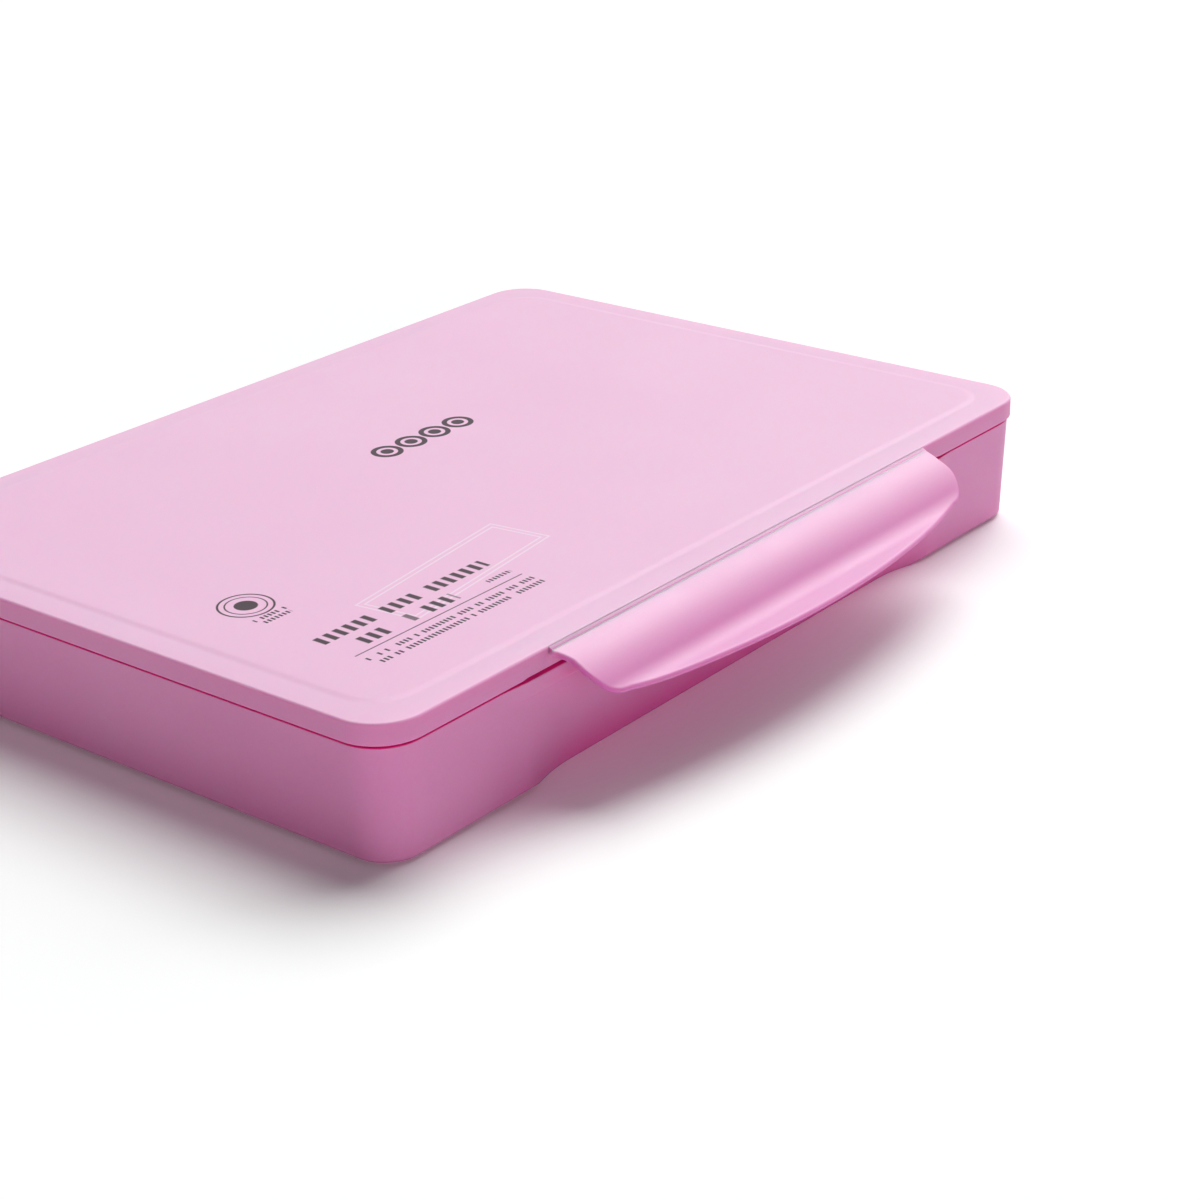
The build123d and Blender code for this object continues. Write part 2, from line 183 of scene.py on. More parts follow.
class PaintBoxSizes(bpy.types.PropertyGroup):
    """The sizes that shape the case, the cups and what they hold."""

    corner: length("Corner radius", "Radius of the lid's four corners in plan", 15.3)
    wall: length("Wall", "Thickness of the lid's skirt and the tray's walls", 2.0)
    lid_edge: length("Lid edge", "Rounding of the lid's top edge", 0.9)
    lid_height: length("Lid height", "Height of the lid's edge above the seam", 7.9)
    seam_gap: length("Seam gap", "Open gap between the lid and the tray", 1.1)
    panel_inset: length("Panel inset", "Width of the flat band around the raised panel", 8.5)
    panel_slope: length("Panel slope", "Width of the soft slope up to the panel", 4.0)
    overhang: length("Overhang", "How far the lid stands out over the tray", 1.0)
    tray_draft: length("Tray draft", "How far each tray wall leans in at the foot", 1.5)
    foot_height: length("Foot height", "Height of the foot under the tray", 1.0)
    foot_inset: length("Foot inset", "Distance of the foot inside the tray's wall", 1.6)
    foot_ring: length("Foot ring", "Width of the flat ring that rests on the table", 9.0)
    foot_recess: length("Foot recess", "Hollow inside the foot ring", 0.6)
    floor: length("Tray floor", "Height of the tray's floor above the table", 3.0)
    tray_edge: length("Tray edge", "Rounding of the tray's bottom edge", 1.0)
    rim_inset: length("Rim inset", "Distance of the rim inside the lid's outline", 2.4)
    rim_wall: length("Rim wall", "Thickness of the rim that enters the lid", 1.5)
    rim_root: length("Rim root", "How far the rim reaches down inside the wall", 3.0)
    relief_length: length("Relief length", "Length of the wider seam at the latch", 216.0)
    skirt_relief: length("Skirt relief", "Extra opening of the seam at the latch", 0.3)
    ledge_height: length("Ledge height", "Height of the ledge that the hook holds under", 4.8)
    ledge_run_out: length("Ledge run-out", "Length over which each end of the ledge fades", 9.0)
    scoop_depth: length("Scoop depth", "Depth of the finger scoop at the foot", 4.6)
    scoop_top: length("Scoop top depth", "Depth of the finger scoop under the ledge", 0.5)
    scoop_flat: length("Scoop flat", "Length of the scoop's straight back", 160.0)
    scoop_length: length("Scoop length", "Length of the finger scoop from end to end", 246.0)
    flap_wall: length("Flap wall", "Thickness of the latch flap", 2.0)
    flap_crown: length("Flap crown", "Radius of the flap's arched upper part", 22.5)
    flap_trough: length("Flap trough", "Radius of the hollow above the flap's lip", 9.5)
    flap_root_slope: FloatProperty(
        name="Flap root slope", description="Slope of the flap where it leaves the lid",
        default=math.radians(6), subtype="ANGLE",
    )
    flap_steep_slope: FloatProperty(
        name="Flap steepest slope", description="Slope of the flap where its arch meets the hollow",
        default=math.radians(50), subtype="ANGLE",
    )
    flap_taper: length("Flap taper", "How much each end of the flap closes in", 1.5)
    flap_corner_reach: length("Flap corner reach", "Reach of the flap's front corners", 16.8)
    flap_corner: length("Flap corner", "Radius of the flap's front corners", 11.0)
    flap_edge: length("Flap edge", "Width over which the flap's edges are rounded", 0.9)
    barrel: length("Hinge barrel", "Radius of the hinge knuckles", 3.0)
    pin: length("Hinge pin", "Radius of the hinge pins", 1.5)
    hinge_spacing: length("Hinge spacing", "Distance between the two hinges", 190.0)
    knuckle: length("Knuckle length", "Length of each knuckle on the lid", 24.0)
    ear: length("Ear length", "Length of each ear on the tray", 8.0)
    ear_gap: length("Ear gap", "Gap between a knuckle and its ears", 0.3)
    cup_wall: length("Cup wall", "Thickness of a cup's wall", 1.1)
    cup_flange: length("Cup flange", "Width of the flange around a cup's mouth", 1.2)
    cup_draft: length("Cup draft", "How far each cup wall leans in at the foot", 2.2)
    cup_corner: length("Cup corner", "Radius of a cup's corners", 6.0)
    palette_corner: length("Palette corner", "Radius of the palette's corners", 9.0)
    palette_border: length("Palette border", "Width of the palette's outer border", 7.0)
    palette_web: length("Palette web", "Width of the webs between the wells", 4.0)
    palette_floor: length("Palette floor", "Thickness left above the wells", 1.6)
    small_well_depth: length("Small well depth", "Front to back size of the small wells", 38.0)
    well_corner: length("Well corner", "Radius of the wells' corners in plan", 4.0)
    small_wells: IntProperty(name="Small wells", description="Wells in the front row", default=8, min=1)
    mixing_areas: IntProperty(name="Mixing areas", description="Large wells behind", default=3, min=1)


class PaintBoxColours(bpy.types.PropertyGroup):
    """The colours of the plastics, the painted shade on the case, the print and the studio."""

    # The pink on faces that face up; the next three are painted shade: on upright faces, on the flap, and in
    # seams and hollows.
    case: colour("Case", "Pink plastic where it faces up", (0.83, 0.46, 0.67))
    case_side_shade: colour("Case sides", "Deeper pink where the plastic stands upright", (0.78, 0.24, 0.52))
    case_flap_shade: colour("Flap hollow", "Mauve in the hollow of the flap", (0.63, 0.08, 0.46))
    case_deep_shade: colour("Case hollows", "Deep pink in seams and hollows", (0.86, 0.02, 0.34))
    case_print: colour("Print", "Dark print on the lid", (0.018, 0.010, 0.014))
    # The pale frame's colour also paints the highlight along the flap's hinge.
    label: colour("Label frame", "Pale frame printed on the lid", (0.90, 0.74, 0.84))
    cup: colour("Cup", "Milky plastic of the cups", (0.80, 0.80, 0.79))
    palette: colour("Palette", "White plastic of the mixing palette", (0.82, 0.81, 0.80))
    pin: colour("Hinge pin", "Plastic of the hinge pins", (0.74, 0.33, 0.55))
    film: colour("Film", "Clear film over the cups", (0.93, 0.95, 0.96))
    floor: colour("Floor", "Pale studio floor", (0.95, 0.97, 0.96))


class Socket:
    """A shader value that grows Math nodes when Python arithmetic is done on it."""

    def __init__(self, shader, output):
        self.shader = shader
        self.output = output

    def math(self, operation, *others):
        sockets = dict(enumerate((self, *others)))
        return self.shader.node("ShaderNodeMath", {"operation": operation}, sockets)

    def __add__(self, other):
        return self.math("ADD", other)

    def __sub__(self, other):
        return self.math("SUBTRACT", other)

    def __mul__(self, other):
        return self.math("MULTIPLY", other)

    def __truediv__(self, other):
        return self.math("DIVIDE", other)

    def __abs__(self):
        return self.math("ABSOLUTE")

    def __radd__(self, other):
        return self + other

    def __rmul__(self, other):
        return self * other

    def __rsub__(self, other):
        return self * -1.0 + other

    def larger(self, other):
        return self.math("MAXIMUM", other)

    def smaller(self, other):
        return self.math("MINIMUM", other)

    def clamp(self):
        return self.larger(0.0).smaller(1.0)

    def above(self, edge, softness):
        """0 below the edge and 1 above it, with a ramp as wide as the softness."""
        return ((self - edge) / softness + 0.5).clamp()

    def below(self, edge, softness):
        return 1.0 - self.above(edge, softness)


class Shader:
    """The node tree of one material or world, built by a single method that adds a node."""

    def __init__(self, name, kind="materials"):
        self.owner = getattr(bpy.data, kind).new(name)
        self.owner.use_nodes = True
        self.tree = self.owner.node_tree
        self.tree.nodes.clear()

    def node(self, kind, settings=None, sockets=None, output=0):
        """Adds a node, applies its settings, then fills its sockets with values or links."""
        made = self.tree.nodes.new(kind)
        for key, value in (settings or {}).items():
            setattr(made, key, value)
        for key, value in (sockets or {}).items():
            if isinstance(value, Socket):
                self.tree.links.new(value.output, made.inputs[key])
            else:
                made.inputs[key].default_value = value
        return Socket(self, made.outputs[output]) if made.outputs else None

    def place(self):
        """The point on the object, in the box's own frame."""
        return self.node("ShaderNodeTexCoord", output="Object")

    def axes(self, vector):
        """The three numbers of a vector."""
        parts = self.node("ShaderNodeSeparateXYZ", sockets={0: vector})
        return [parts] + [Socket(self, parts.output.node.outputs[index]) for index in (1, 2)]

    def noise(self, size, detail=3.0, roughness=0.5, vector=None):
        """Fractal noise whose features are about as large as the size, in metres."""
        sockets = {
            "Vector": vector or self.place(),
            "Scale": 1.0 / size,
            "Detail": detail,
            "Roughness": roughness,
        }
        return self.node("ShaderNodeTexNoise", sockets=sockets)

    def blend(self, factor, first, second):
        """A colour between two colours."""
        sockets = {0: factor, 6: self.full(first), 7: self.full(second)}
        return self.node("ShaderNodeMix", {"data_type": "RGBA"}, sockets, output=2)

    def full(self, value):
        """A colour with its fourth number, or the socket it already is."""
        return value if isinstance(value, Socket) else (*value, 1.0)

    def bump(self, height, distance, strength=1.0, normal=None):
        """A bumped normal from a height between 0 and 1."""
        sockets = {"Strength": strength, "Distance": distance, "Height": height}
        if normal:
            sockets["Normal"] = normal
        return self.node("ShaderNodeBump", sockets=sockets)

    def facing_up(self):
        """1 where the surface faces up, 0 where it stands upright, in the object's own frame."""
        normal = self.node("ShaderNodeTexCoord", output="Normal")
        up = self.axes(normal)[2].clamp()
        return up * up

    def open_air(self, reach):
        """1 on open surfaces, falling to 0 in seams and hollows no wider than the reach."""
        sockets = {"Distance": reach}
        shut = self.node("ShaderNodeAmbientOcclusion", {"samples": 6}, sockets, output=1)
        return (shut * 1.5 - 0.25).clamp()

    def surface(self, sockets):
        """A Principled shader with these sockets."""
        plain = {key: self.full(value) if isinstance(value, tuple) and key == "Base Color" else value
                 for key, value in sockets.items()}
        return self.node("ShaderNodeBsdfPrincipled", sockets=plain)

    def finish(self, sockets, factor=None, over=None):
        """The material, with a second surface laid over the first by a factor if asked."""
        surface = self.surface(sockets)
        if over:
            layers = {0: factor, 1: surface, 2: self.surface(over)}
            surface = self.node("ShaderNodeMixShader", sockets=layers)
        self.node("ShaderNodeOutputMaterial", sockets={"Surface": surface})
        return self.owner


def satin(shader, grain=0.35 * MM, swell=45 * MM):
    """The normal of moulded plastic: a fine spark-eroded grain over a faint swell."""
    waves = shader.bump(shader.noise(swell, detail=1.0), 0.35 * MM)
    return shader.bump(shader.noise(grain, detail=2.0, roughness=0.6), 0.012 * MM, normal=waves)


def scuffs(shader, low, high, size=28 * MM):
    """A roughness that wanders between two values, as on handled plastic."""
    patches = shader.noise(size, detail=4.0, roughness=0.62)
    fine = shader.noise(1.6 * MM, detail=2.0)
    worn = (patches * 0.75 + fine * 0.25 - 0.3) * 2.2
    return worn.clamp() * (high - low) + low


def strip(x, y, left, right, middle, height):
    """1 inside a straight band of print between two x, centred on a y, all in millimetres."""
    soft = 0.25
    across = abs(x - (left + right) / 2).below((right - left) / 2, soft)
    along = abs(y - middle).below(height / 2, soft)
    return across * along


def dashes(shader, x, y, line, height, pitch, seed):
    """A line of plain upright dashes in groups of uneven length, which spell nothing."""
    left, right, middle = line
    cell = (x / pitch).math("FLOOR")
    gap_key = shader.node("ShaderNodeCombineXYZ", sockets={0: cell * 0.37, 1: seed, 2: 0.0})
    gap = shader.node("ShaderNodeTexWhiteNoise", {"noise_dimensions": "3D"}, {"Vector": gap_key})
    dash = abs(x / pitch - cell - 0.5).below(0.27, 0.12)
    kept = gap.above(0.2, 0.02)
    return strip(x, y, left, right, middle, height) * dash * kept


def from_point(x, y, place):
    """The distance from a printed mark's middle, in millimetres."""
    across, along = x - place[0], y - place[1]
    return (across * across + along * along).math("SQRT")


def printed_ring(x, y, place, radius, width):
    """1 on a printed circle line, in millimetres."""
    return abs(from_point(x, y, place) - radius).below(width / 2, 0.2)


def printed_dot(x, y, place, radius):
    """1 inside a printed dot, in millimetres."""
    return from_point(x, y, place).below(radius, 0.25)


def lid_print(shader, x, y):
    """The dark print: a row of dots, a round seal, greeked lines and a thin rule."""
    title, seal, rule = TITLE_DOTS, SEAL, RULE
    marks = []
    for number in range(title["count"]):
        place = (title["first"] + number * title["pitch"], title["y"])
        marks.append(printed_ring(x, y, place, title["radius"] - title["line"] / 2, title["line"]))
        marks.append(printed_dot(x, y, place, title["core"]))
    place = (seal["x"], seal["y"])
    marks.append(printed_ring(x, y, place, seal["radius"], seal["line"]))
    marks.append(printed_ring(x, y, place, seal["radius"] - seal["inner"], seal["inner_line"]))
    marks.append(printed_dot(x, y, place, seal["core"]))
    for kind in LINES:
        for number, line in enumerate(kind["lines"]):
            marks.append(dashes(shader, x, y, line, kind["height"], kind["pitch"], kind["seed"] + number))
    marks.append(strip(x, y, rule["left"], rule["right"], rule["y"], rule["height"]))
    total = marks[0]
    for mark in marks[1:]:
        total = total.larger(mark)
    return total


def label_frame(x, y, half_line=0.3):
    """The pale double line of a slightly turned oblong frame."""
    label = LABEL_FRAME
    turn = math.radians(label["turn"])
    along = (x - label["x"]) * math.cos(turn) + (y - label["y"]) * math.sin(turn)
    across = (y - label["y"]) * math.cos(turn) - (x - label["x"]) * math.sin(turn)
    reach = (abs(along) - label["half_length"]).larger(abs(across) - label["half_depth"])
    outer = abs(reach).below(half_line, half_line)
    return outer.larger(abs(reach + label["step"]).below(half_line, half_line))


def hollows(shader, x, y, z):
    """How much painted shade deepens the pink: most in the seam and the finger scoop, a little in other
    hollows.
    """
    scoop, line = SCOOP_SHADE, SEAM_SHADE
    behind = LID_FRONT / MM + scoop["behind"]
    under = SEAM / MM - scoop["below"]
    sheltered = abs(x).below(scoop["half"], scoop["fade"]) * y.below(behind, scoop["soft"])
    sheltered *= z.below(under, scoop["soft"])
    seam = abs(z - (SEAM / MM + line["middle"])).below(line["half"], line["soft"])
    seam *= y.below(LID_BACK / MM + line["behind"], line["behind_soft"])
    shut = 1.0 - shader.open_air(SHADE_REACH)
    closed = 1.0 - shader.open_air(SEAM_SHADE_REACH)
    wide = shut * (sheltered * scoop["share"] + HOLLOW_SHADE)
    return wide.larger(seam * (closed * line["gain"]).clamp())


def flap_shade(up, y):
    """How much painted shade turns the flap mauve: a little all over, more on its lip and most where it is
    steep.
    """
    flap = FLAP_SHADE
    bent = y.below(LID_FRONT / MM - flap["start"], flap["start_soft"])
    lip = y.below(LID_FRONT / MM - flap["lip"], flap["lip_soft"])
    steep = (1.0 - up) * (1.0 - lip)
    return (lip * flap["lip_share"] + flap["share"] + steep * flap["steep_share"]) * bent


def plain_case(shader, colours, x, y, z):
    """The case's pink: mottled, paler where it faces up and deeper where it stands upright as painted light
    and shade, and deeper still with painted shade in hollows and on the flap.
    """
    up = shader.facing_up()
    # Painted shade: upright faces get a deeper pink than faces that face up.
    tone = shader.blend(up, tuple(colours.case_side_shade), tuple(colours.case))
    drift = shader.noise(60 * MM, detail=2.0)
    speck = shader.noise(0.8 * MM, detail=1.0)
    pale = shader.blend(0.16, tone, (1.0, 0.86, 0.95))
    base = shader.blend((drift * 0.7 + speck * 0.3).clamp(), tone, pale)
    # Painted shade: the pink deepens in seams, in the finger scoop and in other hollows.
    base = shader.blend(hollows(shader, x, y, z), base, tuple(colours.case_deep_shade))
    # Painted shade on the flap: mauve, most on its steep slope and its lip.
    return shader.blend(flap_shade(up, y), base, tuple(colours.case_flap_shade))


def hinge_shade_and_highlight(shader, colours, base, y, z):
    """Painted shade on the web at the flap's root as a deeper pink, with a painted highlight as a pale line
    along its outer edge.
    """
    band = WEB_SHADE_AND_HIGHLIGHT
    web = y.below(LID_FRONT / MM - band["start"], 0.06)
    web *= z.above(PANEL_TOP / MM - band["depth"], 0.5)
    base = shader.blend(web * band["share"], base, tuple(colours.case_deep_shade))
    # The painted highlight, in the pale frame's colour.
    line = web * y.below(LID_FRONT / MM - band["line"], 0.1)
    return shader.blend(line * band["highlight_share"], base, tuple(colours.label))


def ink_sockets(shader, colours):
    """The matt dark ink of the print, a little faded in patches."""
    ink = shader.noise(0.4 * MM, detail=2.0)
    dark = tuple(colours.case_print)
    faded = tuple(channel * 1.7 + 0.004 for channel in dark)
    return {
        "Base Color": shader.blend(ink, dark, faded),
        "Roughness": (ink * 0.2 + 0.4).clamp(),
        "Normal": satin(shader),
        "Specular IOR Level": 0.12,
    }


def case_plastic(colours, printed):
    """Pink satin polypropylene, with the lid's print if asked."""
    shader = Shader("printed_case_finish" if printed else "case_finish")
    x, y, z = [value / MM for value in shader.axes(shader.place())]
    base = plain_case(shader, colours, x, y, z)
    sockets = {
        "Roughness": scuffs(shader, 0.36, 0.50),
        "Normal": satin(shader),
        "IOR": 1.49,
        "Specular IOR Level": 0.3,
        "Subsurface Weight": 0.55,
        "Subsurface Radius": (1.0, 0.28, 0.55),
        "Subsurface Scale": 4.0 * MM,
    }
    if not printed:
        return shader.finish(sockets | {"Base Color": base})
    top = z.above(PANEL_TOP / MM - 0.2, 0.1)
    # Painted shade and a painted highlight on the web at the flap's hinge.
    base = hinge_shade_and_highlight(shader, colours, base, y, z)
    base = shader.blend(label_frame(x, y) * top * 0.75, base, tuple(colours.label))
    inked = lid_print(shader, x, y) * top * 0.97
    return shader.finish(sockets | {"Base Color": base}, inked, ink_sockets(shader, colours))


def gouache_paint(name, tint):
    """Thick wet gouache: a dense pigment with a paler bloom and a wet, uneven sheen."""
    shader = Shader(f"{name}_gouache_finish")
    streaks = shader.noise(6 * MM, detail=5.0, roughness=0.6)
    grain = shader.noise(0.5 * MM, detail=3.0)
    deep = tuple(channel * 0.86 for channel in tint)
    pale = tuple(min(channel * 1.08 + 0.012, 0.95) for channel in tint)
    body = shader.blend((streaks * 1.6 - 0.3).clamp(), deep, pale)
    ripple = shader.bump(shader.noise(3.2 * MM, detail=3.0), 0.25 * MM)
    return shader.finish({
        "Base Color": body,
        "Roughness": (streaks * 0.22 + grain * 0.1 + 0.22).clamp(),
        "Normal": shader.bump(grain, 0.03 * MM, normal=ripple),
        "IOR": 1.45,
        "Coat Weight": 0.35,
        "Coat Roughness": 0.12,
    })


def cup_plastic(colours):
    """Milky thin-walled polypropylene."""
    shader = Shader("cup_finish")
    drift = shader.noise(9 * MM, detail=3.0)
    tone = tuple(colours.cup)
    warm = (tone[0] * 0.93, tone[1] * 0.94, tone[2] * 0.97)
    return shader.finish({
        "Base Color": shader.blend((drift * 1.4 - 0.2).clamp(), warm, tone),
        "Roughness": scuffs(shader, 0.26, 0.42, 9 * MM),
        "Normal": satin(shader, 0.4 * MM, 18 * MM),
        "IOR": 1.49,
        "Subsurface Weight": 0.5,
        "Subsurface Radius": (1.0, 0.95, 0.9),
        "Subsurface Scale": 2.0 * MM,
    })


def palette_plastic(colours):
    """Glossy white plastic with a faint moulded flow."""
    shader = Shader("palette_finish")
    flow = shader.noise(24 * MM, detail=4.0)
    tone = tuple(colours.palette)
    cool = (tone[0] * 0.95, tone[1] * 0.955, tone[2] * 0.97)
    return shader.finish({
        "Base Color": shader.blend((flow * 1.5 - 0.25).clamp(), cool, tone),
        "Roughness": scuffs(shader, 0.16, 0.30, 20 * MM),
        "Normal": satin(shader, 0.5 * MM, 30 * MM),
        "IOR": 1.52,
        "Subsurface Weight": 0.3,
        "Subsurface Radius": (1.0, 0.97, 0.95),
        "Subsurface Scale": 1.5 * MM,
    })


def pin_plastic(colours):
    """The harder pink plastic of the hinge pins, with turned marks along them."""
    shader = Shader("pin_finish")
    along = shader.axes(shader.place())[0] / (0.7 * MM)
    marks = shader.node("ShaderNodeTexNoise", {"noise_dimensions": "1D"}, {"W": along, "Detail": 2.0})
    tone = tuple(colours.pin)
    deep = tuple(channel * 0.8 for channel in tone)
    return shader.finish({
        "Base Color": shader.blend(marks, deep, tone),
        "Roughness": (marks * 0.2 + 0.28).clamp(),
        "Normal": shader.bump(marks, 0.03 * MM),
        "IOR": 1.49,
    })


def film_plastic(colours):
    """Clear film: mostly see-through, with a hazy heat seal and faint tension creases."""
    shader = Shader("film_finish")
    creases = shader.node(
        "ShaderNodeTexWave", {"bands_direction": "DIAGONAL"},
        {"Vector": shader.place(), "Scale": 90.0, "Distortion": 14.0, "Detail": 3.0, "Detail Scale": 0.5},
        output=1,
    )
    haze = shader.noise(5 * MM, detail=4.0, roughness=0.6)
    return shader.finish({
        "Base Color": tuple(colours.film),
        "Roughness": (haze * 0.12 + 0.05).clamp(),
        "Alpha": (haze * 0.08 + 0.05).clamp(),
        "Normal": shader.bump(creases, 0.12 * MM, 0.5),
        "IOR": 1.5,
        "Coat Weight": 0.6,
        "Coat Roughness": 0.05,
    })


def smooth_step(t):
    """A ramp from 0 to 1 that starts and ends level."""
    t = min(max(t, 0.0), 1.0)
    return t * t * t * (t * (6 * t - 15) + 10)


def quarter_turn(steps):
    """How far a rounded edge has turned in and has still to rise, at each step of a quarter turn."""
    for step in range(steps + 1):
        angle = math.pi / 2 * step / steps
        yield 1 - math.cos(angle), 1 - math.sin(angle)


def rounded_outline(centre, size_x, size_y, radius, height, segments=10, front_cuts=0):
    """The points of a rounded rectangle at one height, with its front edge divided if asked."""
    radius = max(radius, 0.05 * MM)
    steps = segments + 1
    spots = []
    for index in range(4 * steps):
        quarter, step = divmod(index, steps)
        angle = math.pi * (1 + quarter / 2 + step / segments / 2)
        side_x = 1 if quarter in (1, 2) else -1
        side_y = 1 if quarter in (2, 3) else -1
        x = centre.x + side_x * (size_x / 2 - radius) + radius * math.cos(angle)
        y = centre.y + side_y * (size_y / 2 - radius) + radius * math.sin(angle)
        spots.append(Vector((x, y, height)))
    left, right = spots[segments], spots[steps]
    spots[steps:steps] = [left.lerp(right, (cut + 1) / (front_cuts + 1)) for cut in range(front_cuts)]
    return spots


def circle_outline(centre, radius, segments=24):
    """The points of a circle around a line along X."""
    turns = [2 * math.pi * index / segments for index in range(segments)]
    return [centre + Vector((0, radius * math.cos(turn), radius * math.sin(turn))) for turn in turns]


def in_order(verts):
    """The vertices of a loose circle, in the order in which its edges join them."""
    ring = [verts[0]]
    while len(ring) < len(verts):
        beside = [edge.other_vert(ring[-1]) for edge in ring[-1].link_edges]
        ring.append(next(vert for vert in beside if vert not in ring[-2:]))
    return ring


def ring_edges(bm, ring):
    """The edges between the vertices of a closed ring, in order."""
    return [bm.edges.get(pair) for pair in zip(ring, ring[1:] + ring[:1])]


def loft(bm, outlines, closed=False, cap_low=True, cap_high=True):
    """Draws one closed ring through a list of outlines, and gives the edges of its last ring."""
    ring = in_order(bmesh.ops.create_circle(bm, segments=len(outlines[0]), radius=MM)["verts"])
    for vert, spot in zip(ring, outlines[0]):
        vert.co = spot
    if cap_low and not closed:
        bmesh.ops.edgeloop_fill(bm, edges=ring_edges(bm, ring))
    for outline in outlines[1:] + (outlines[:1] if closed else []):
        grown = bmesh.ops.extrude_edge_only(bm, edges=ring_edges(bm, ring))["geom"]
        fresh = {item for item in grown if isinstance(item, bmesh.types.BMVert)}
        ends = [{edge.other_vert(vert) for edge in vert.link_edges} & fresh for vert in ring]
        ring = [end.pop() for end in ends]
        for vert, spot in zip(ring, outline):
            vert.co = spot
    edges = ring_edges(bm, ring)
    if cap_high and not closed:
        bmesh.ops.edgeloop_fill(bm, edges=edges)
    return edges


def tube_along_x(bm, centre, span, radius, bore, edge=0.25 * MM):
    """A barrel along X with eased rims and, where the bore isn't zero, a hole through it."""
    half = span / 2
    ends = [(-half, radius - edge), (edge - half, radius), (half - edge, radius), (half, radius - edge)]
    if bore:
        ends += [(half, bore), (-half, bore)]
    outlines = [circle_outline(centre + Vector((x, 0, 0)), reach) for x, reach in ends]
    loft(bm, outlines, closed=bool(bore))


def ease_edges(bm, verts, width):
    """Rounds every edge that meets some vertices, in two steps."""
    edges = list(dict.fromkeys(edge for vert in verts for edge in vert.link_edges))
    bmesh.ops.bevel(
        bm, geom=edges, offset=width, offset_type="OFFSET", segments=2, profile=0.5,
        affect="EDGES", material=-1, clamp_overlap=True,
    )


def bar_of_outline(bm, outline, left, right, edge=0.2 * MM):
    """A closed (y, z) outline drawn out along X between two ends, with eased edges."""
    verts = [bm.verts.new((left, y, z)) for y, z in outline]
    out = bmesh.ops.extrude_face_region(bm, geom=[bm.faces.new(verts)])["geom"]
    moved = [item for item in out if isinstance(item, bmesh.types.BMVert)]
    bmesh.ops.translate(bm, verts=moved, vec=(right - left, 0, 0))
    faces = list(dict.fromkeys(face for vert in verts + moved for face in vert.link_faces))
    bmesh.ops.recalc_face_normals(bm, faces=faces)
    ease_edges(bm, verts + moved, edge)


def block(bm, low, high, edge=0.3 * MM):
    """A box between two corners with its edges eased."""
    made = bmesh.ops.create_cube(bm, size=1.0)["verts"]
    bmesh.ops.scale(bm, verts=made, vec=high - low)
    bmesh.ops.translate(bm, verts=made, vec=(low + high) / 2)
    ease_edges(bm, made, edge)


def add_object(name, data):
    """A new object that shows this data, linked to the scene."""
    made = bpy.data.objects.new(name, data)
    bpy.context.scene.collection.objects.link(made)
    return made


def piece(bm, name, finish, body, nodes, sharp=32.0):
    """Turns a bmesh into a finished piece that rides on a body and stands for CAD nodes."""
    bmesh.ops.remove_doubles(bm, verts=bm.verts, dist=0.004 * MM)
    bmesh.ops.dissolve_degenerate(bm, edges=bm.edges, dist=0.002 * MM)
    bmesh.ops.recalc_face_normals(bm, faces=bm.faces)
    mesh = bpy.data.meshes.new(name)
    bm.to_mesh(mesh)
    bm.free()
    mesh.shade_smooth()
    mesh.set_sharp_from_angle(angle=math.radians(sharp))
    mesh.materials.append(finish)
    made = add_object(name, mesh)
    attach(made, body)
    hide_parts(*nodes)


def material(name, maker, *details):
    """The material of this name, made the first time it is asked for."""
    return bpy.data.materials.get(name) or maker(*details)


def case_material(context, printed=False):
    """The case's pink plastic."""
    name = "printed_case_finish" if printed else "case_finish"
    return material(name, case_plastic, context.scene.paint_box_colours, printed)


def lid_outline(inset, height, sizes, radius=None, cuts=150):
    """The lid's outline at a distance inside it."""
    corner = sizes.corner - inset if radius is None else radius
    return rounded_outline(
        LID_CENTRE, LID_LENGTH - 2 * inset, LID_DEPTH - 2 * inset, corner, height, 14, cuts
    )


def hinge_places(sizes):
    """The X of the two back hinges."""
    return (-sizes.hinge_spacing / 2, sizes.hinge_spacing / 2)


def clip_outline(top, root, wall=1.5 * MM, nose=1.1 * MM, nose_height=1.0 * MM):
    """The outline of a palette clip, with its nose towards lower y, which starts at y = 0."""
    bottom = top - nose_height
    return [
        (0, root), (wall, root), (wall, bottom), (0, bottom),
        (-nose, bottom + nose_height / 2), (-nose, top), (0, top),
    ]


def add_clip(bm, x, y, turn, top, root, width=14 * MM):
    """One palette clip, built at the origin and then turned and moved to its place."""
    part = bmesh.new()
    bar_of_outline(part, clip_outline(top, root), -width / 2, width / 2, 0.12 * MM)
    matrix = Matrix.Translation((x, y, 0)) @ Matrix.Rotation(math.radians(turn), 4, "Z")
    bmesh.ops.transform(part, matrix=matrix, verts=part.verts)
    scrap = bpy.data.meshes.new("clip_scrap")
    part.to_mesh(scrap)
    part.free()
    bm.from_mesh(scrap)
    bpy.data.meshes.remove(scrap)


def hinge_web(bm, sizes):
    """The thin web at the lid's edge on which the latch flap bends."""
    edge = SEAM + sizes.lid_height
    top = edge - 0.35 * MM
    outline = [
        (LID_FRONT + 0.5 * MM, edge - 2.6 * MM), (LID_FRONT + 0.5 * MM, top),
        (LID_FRONT - 0.2 * MM, top - 0.05 * MM), (LID_FRONT - 0.9 * MM, top - 0.35 * MM),
        (FLAP_AXIS.y - 0.5 * MM, edge - 1.5 * MM), (FLAP_AXIS.y - 0.5 * MM, edge - 2.6 * MM),
    ]
    half = FLAP_HIGH.x - 0.4 * MM
    bar_of_outline(bm, outline, -half, half, 0.12 * MM)


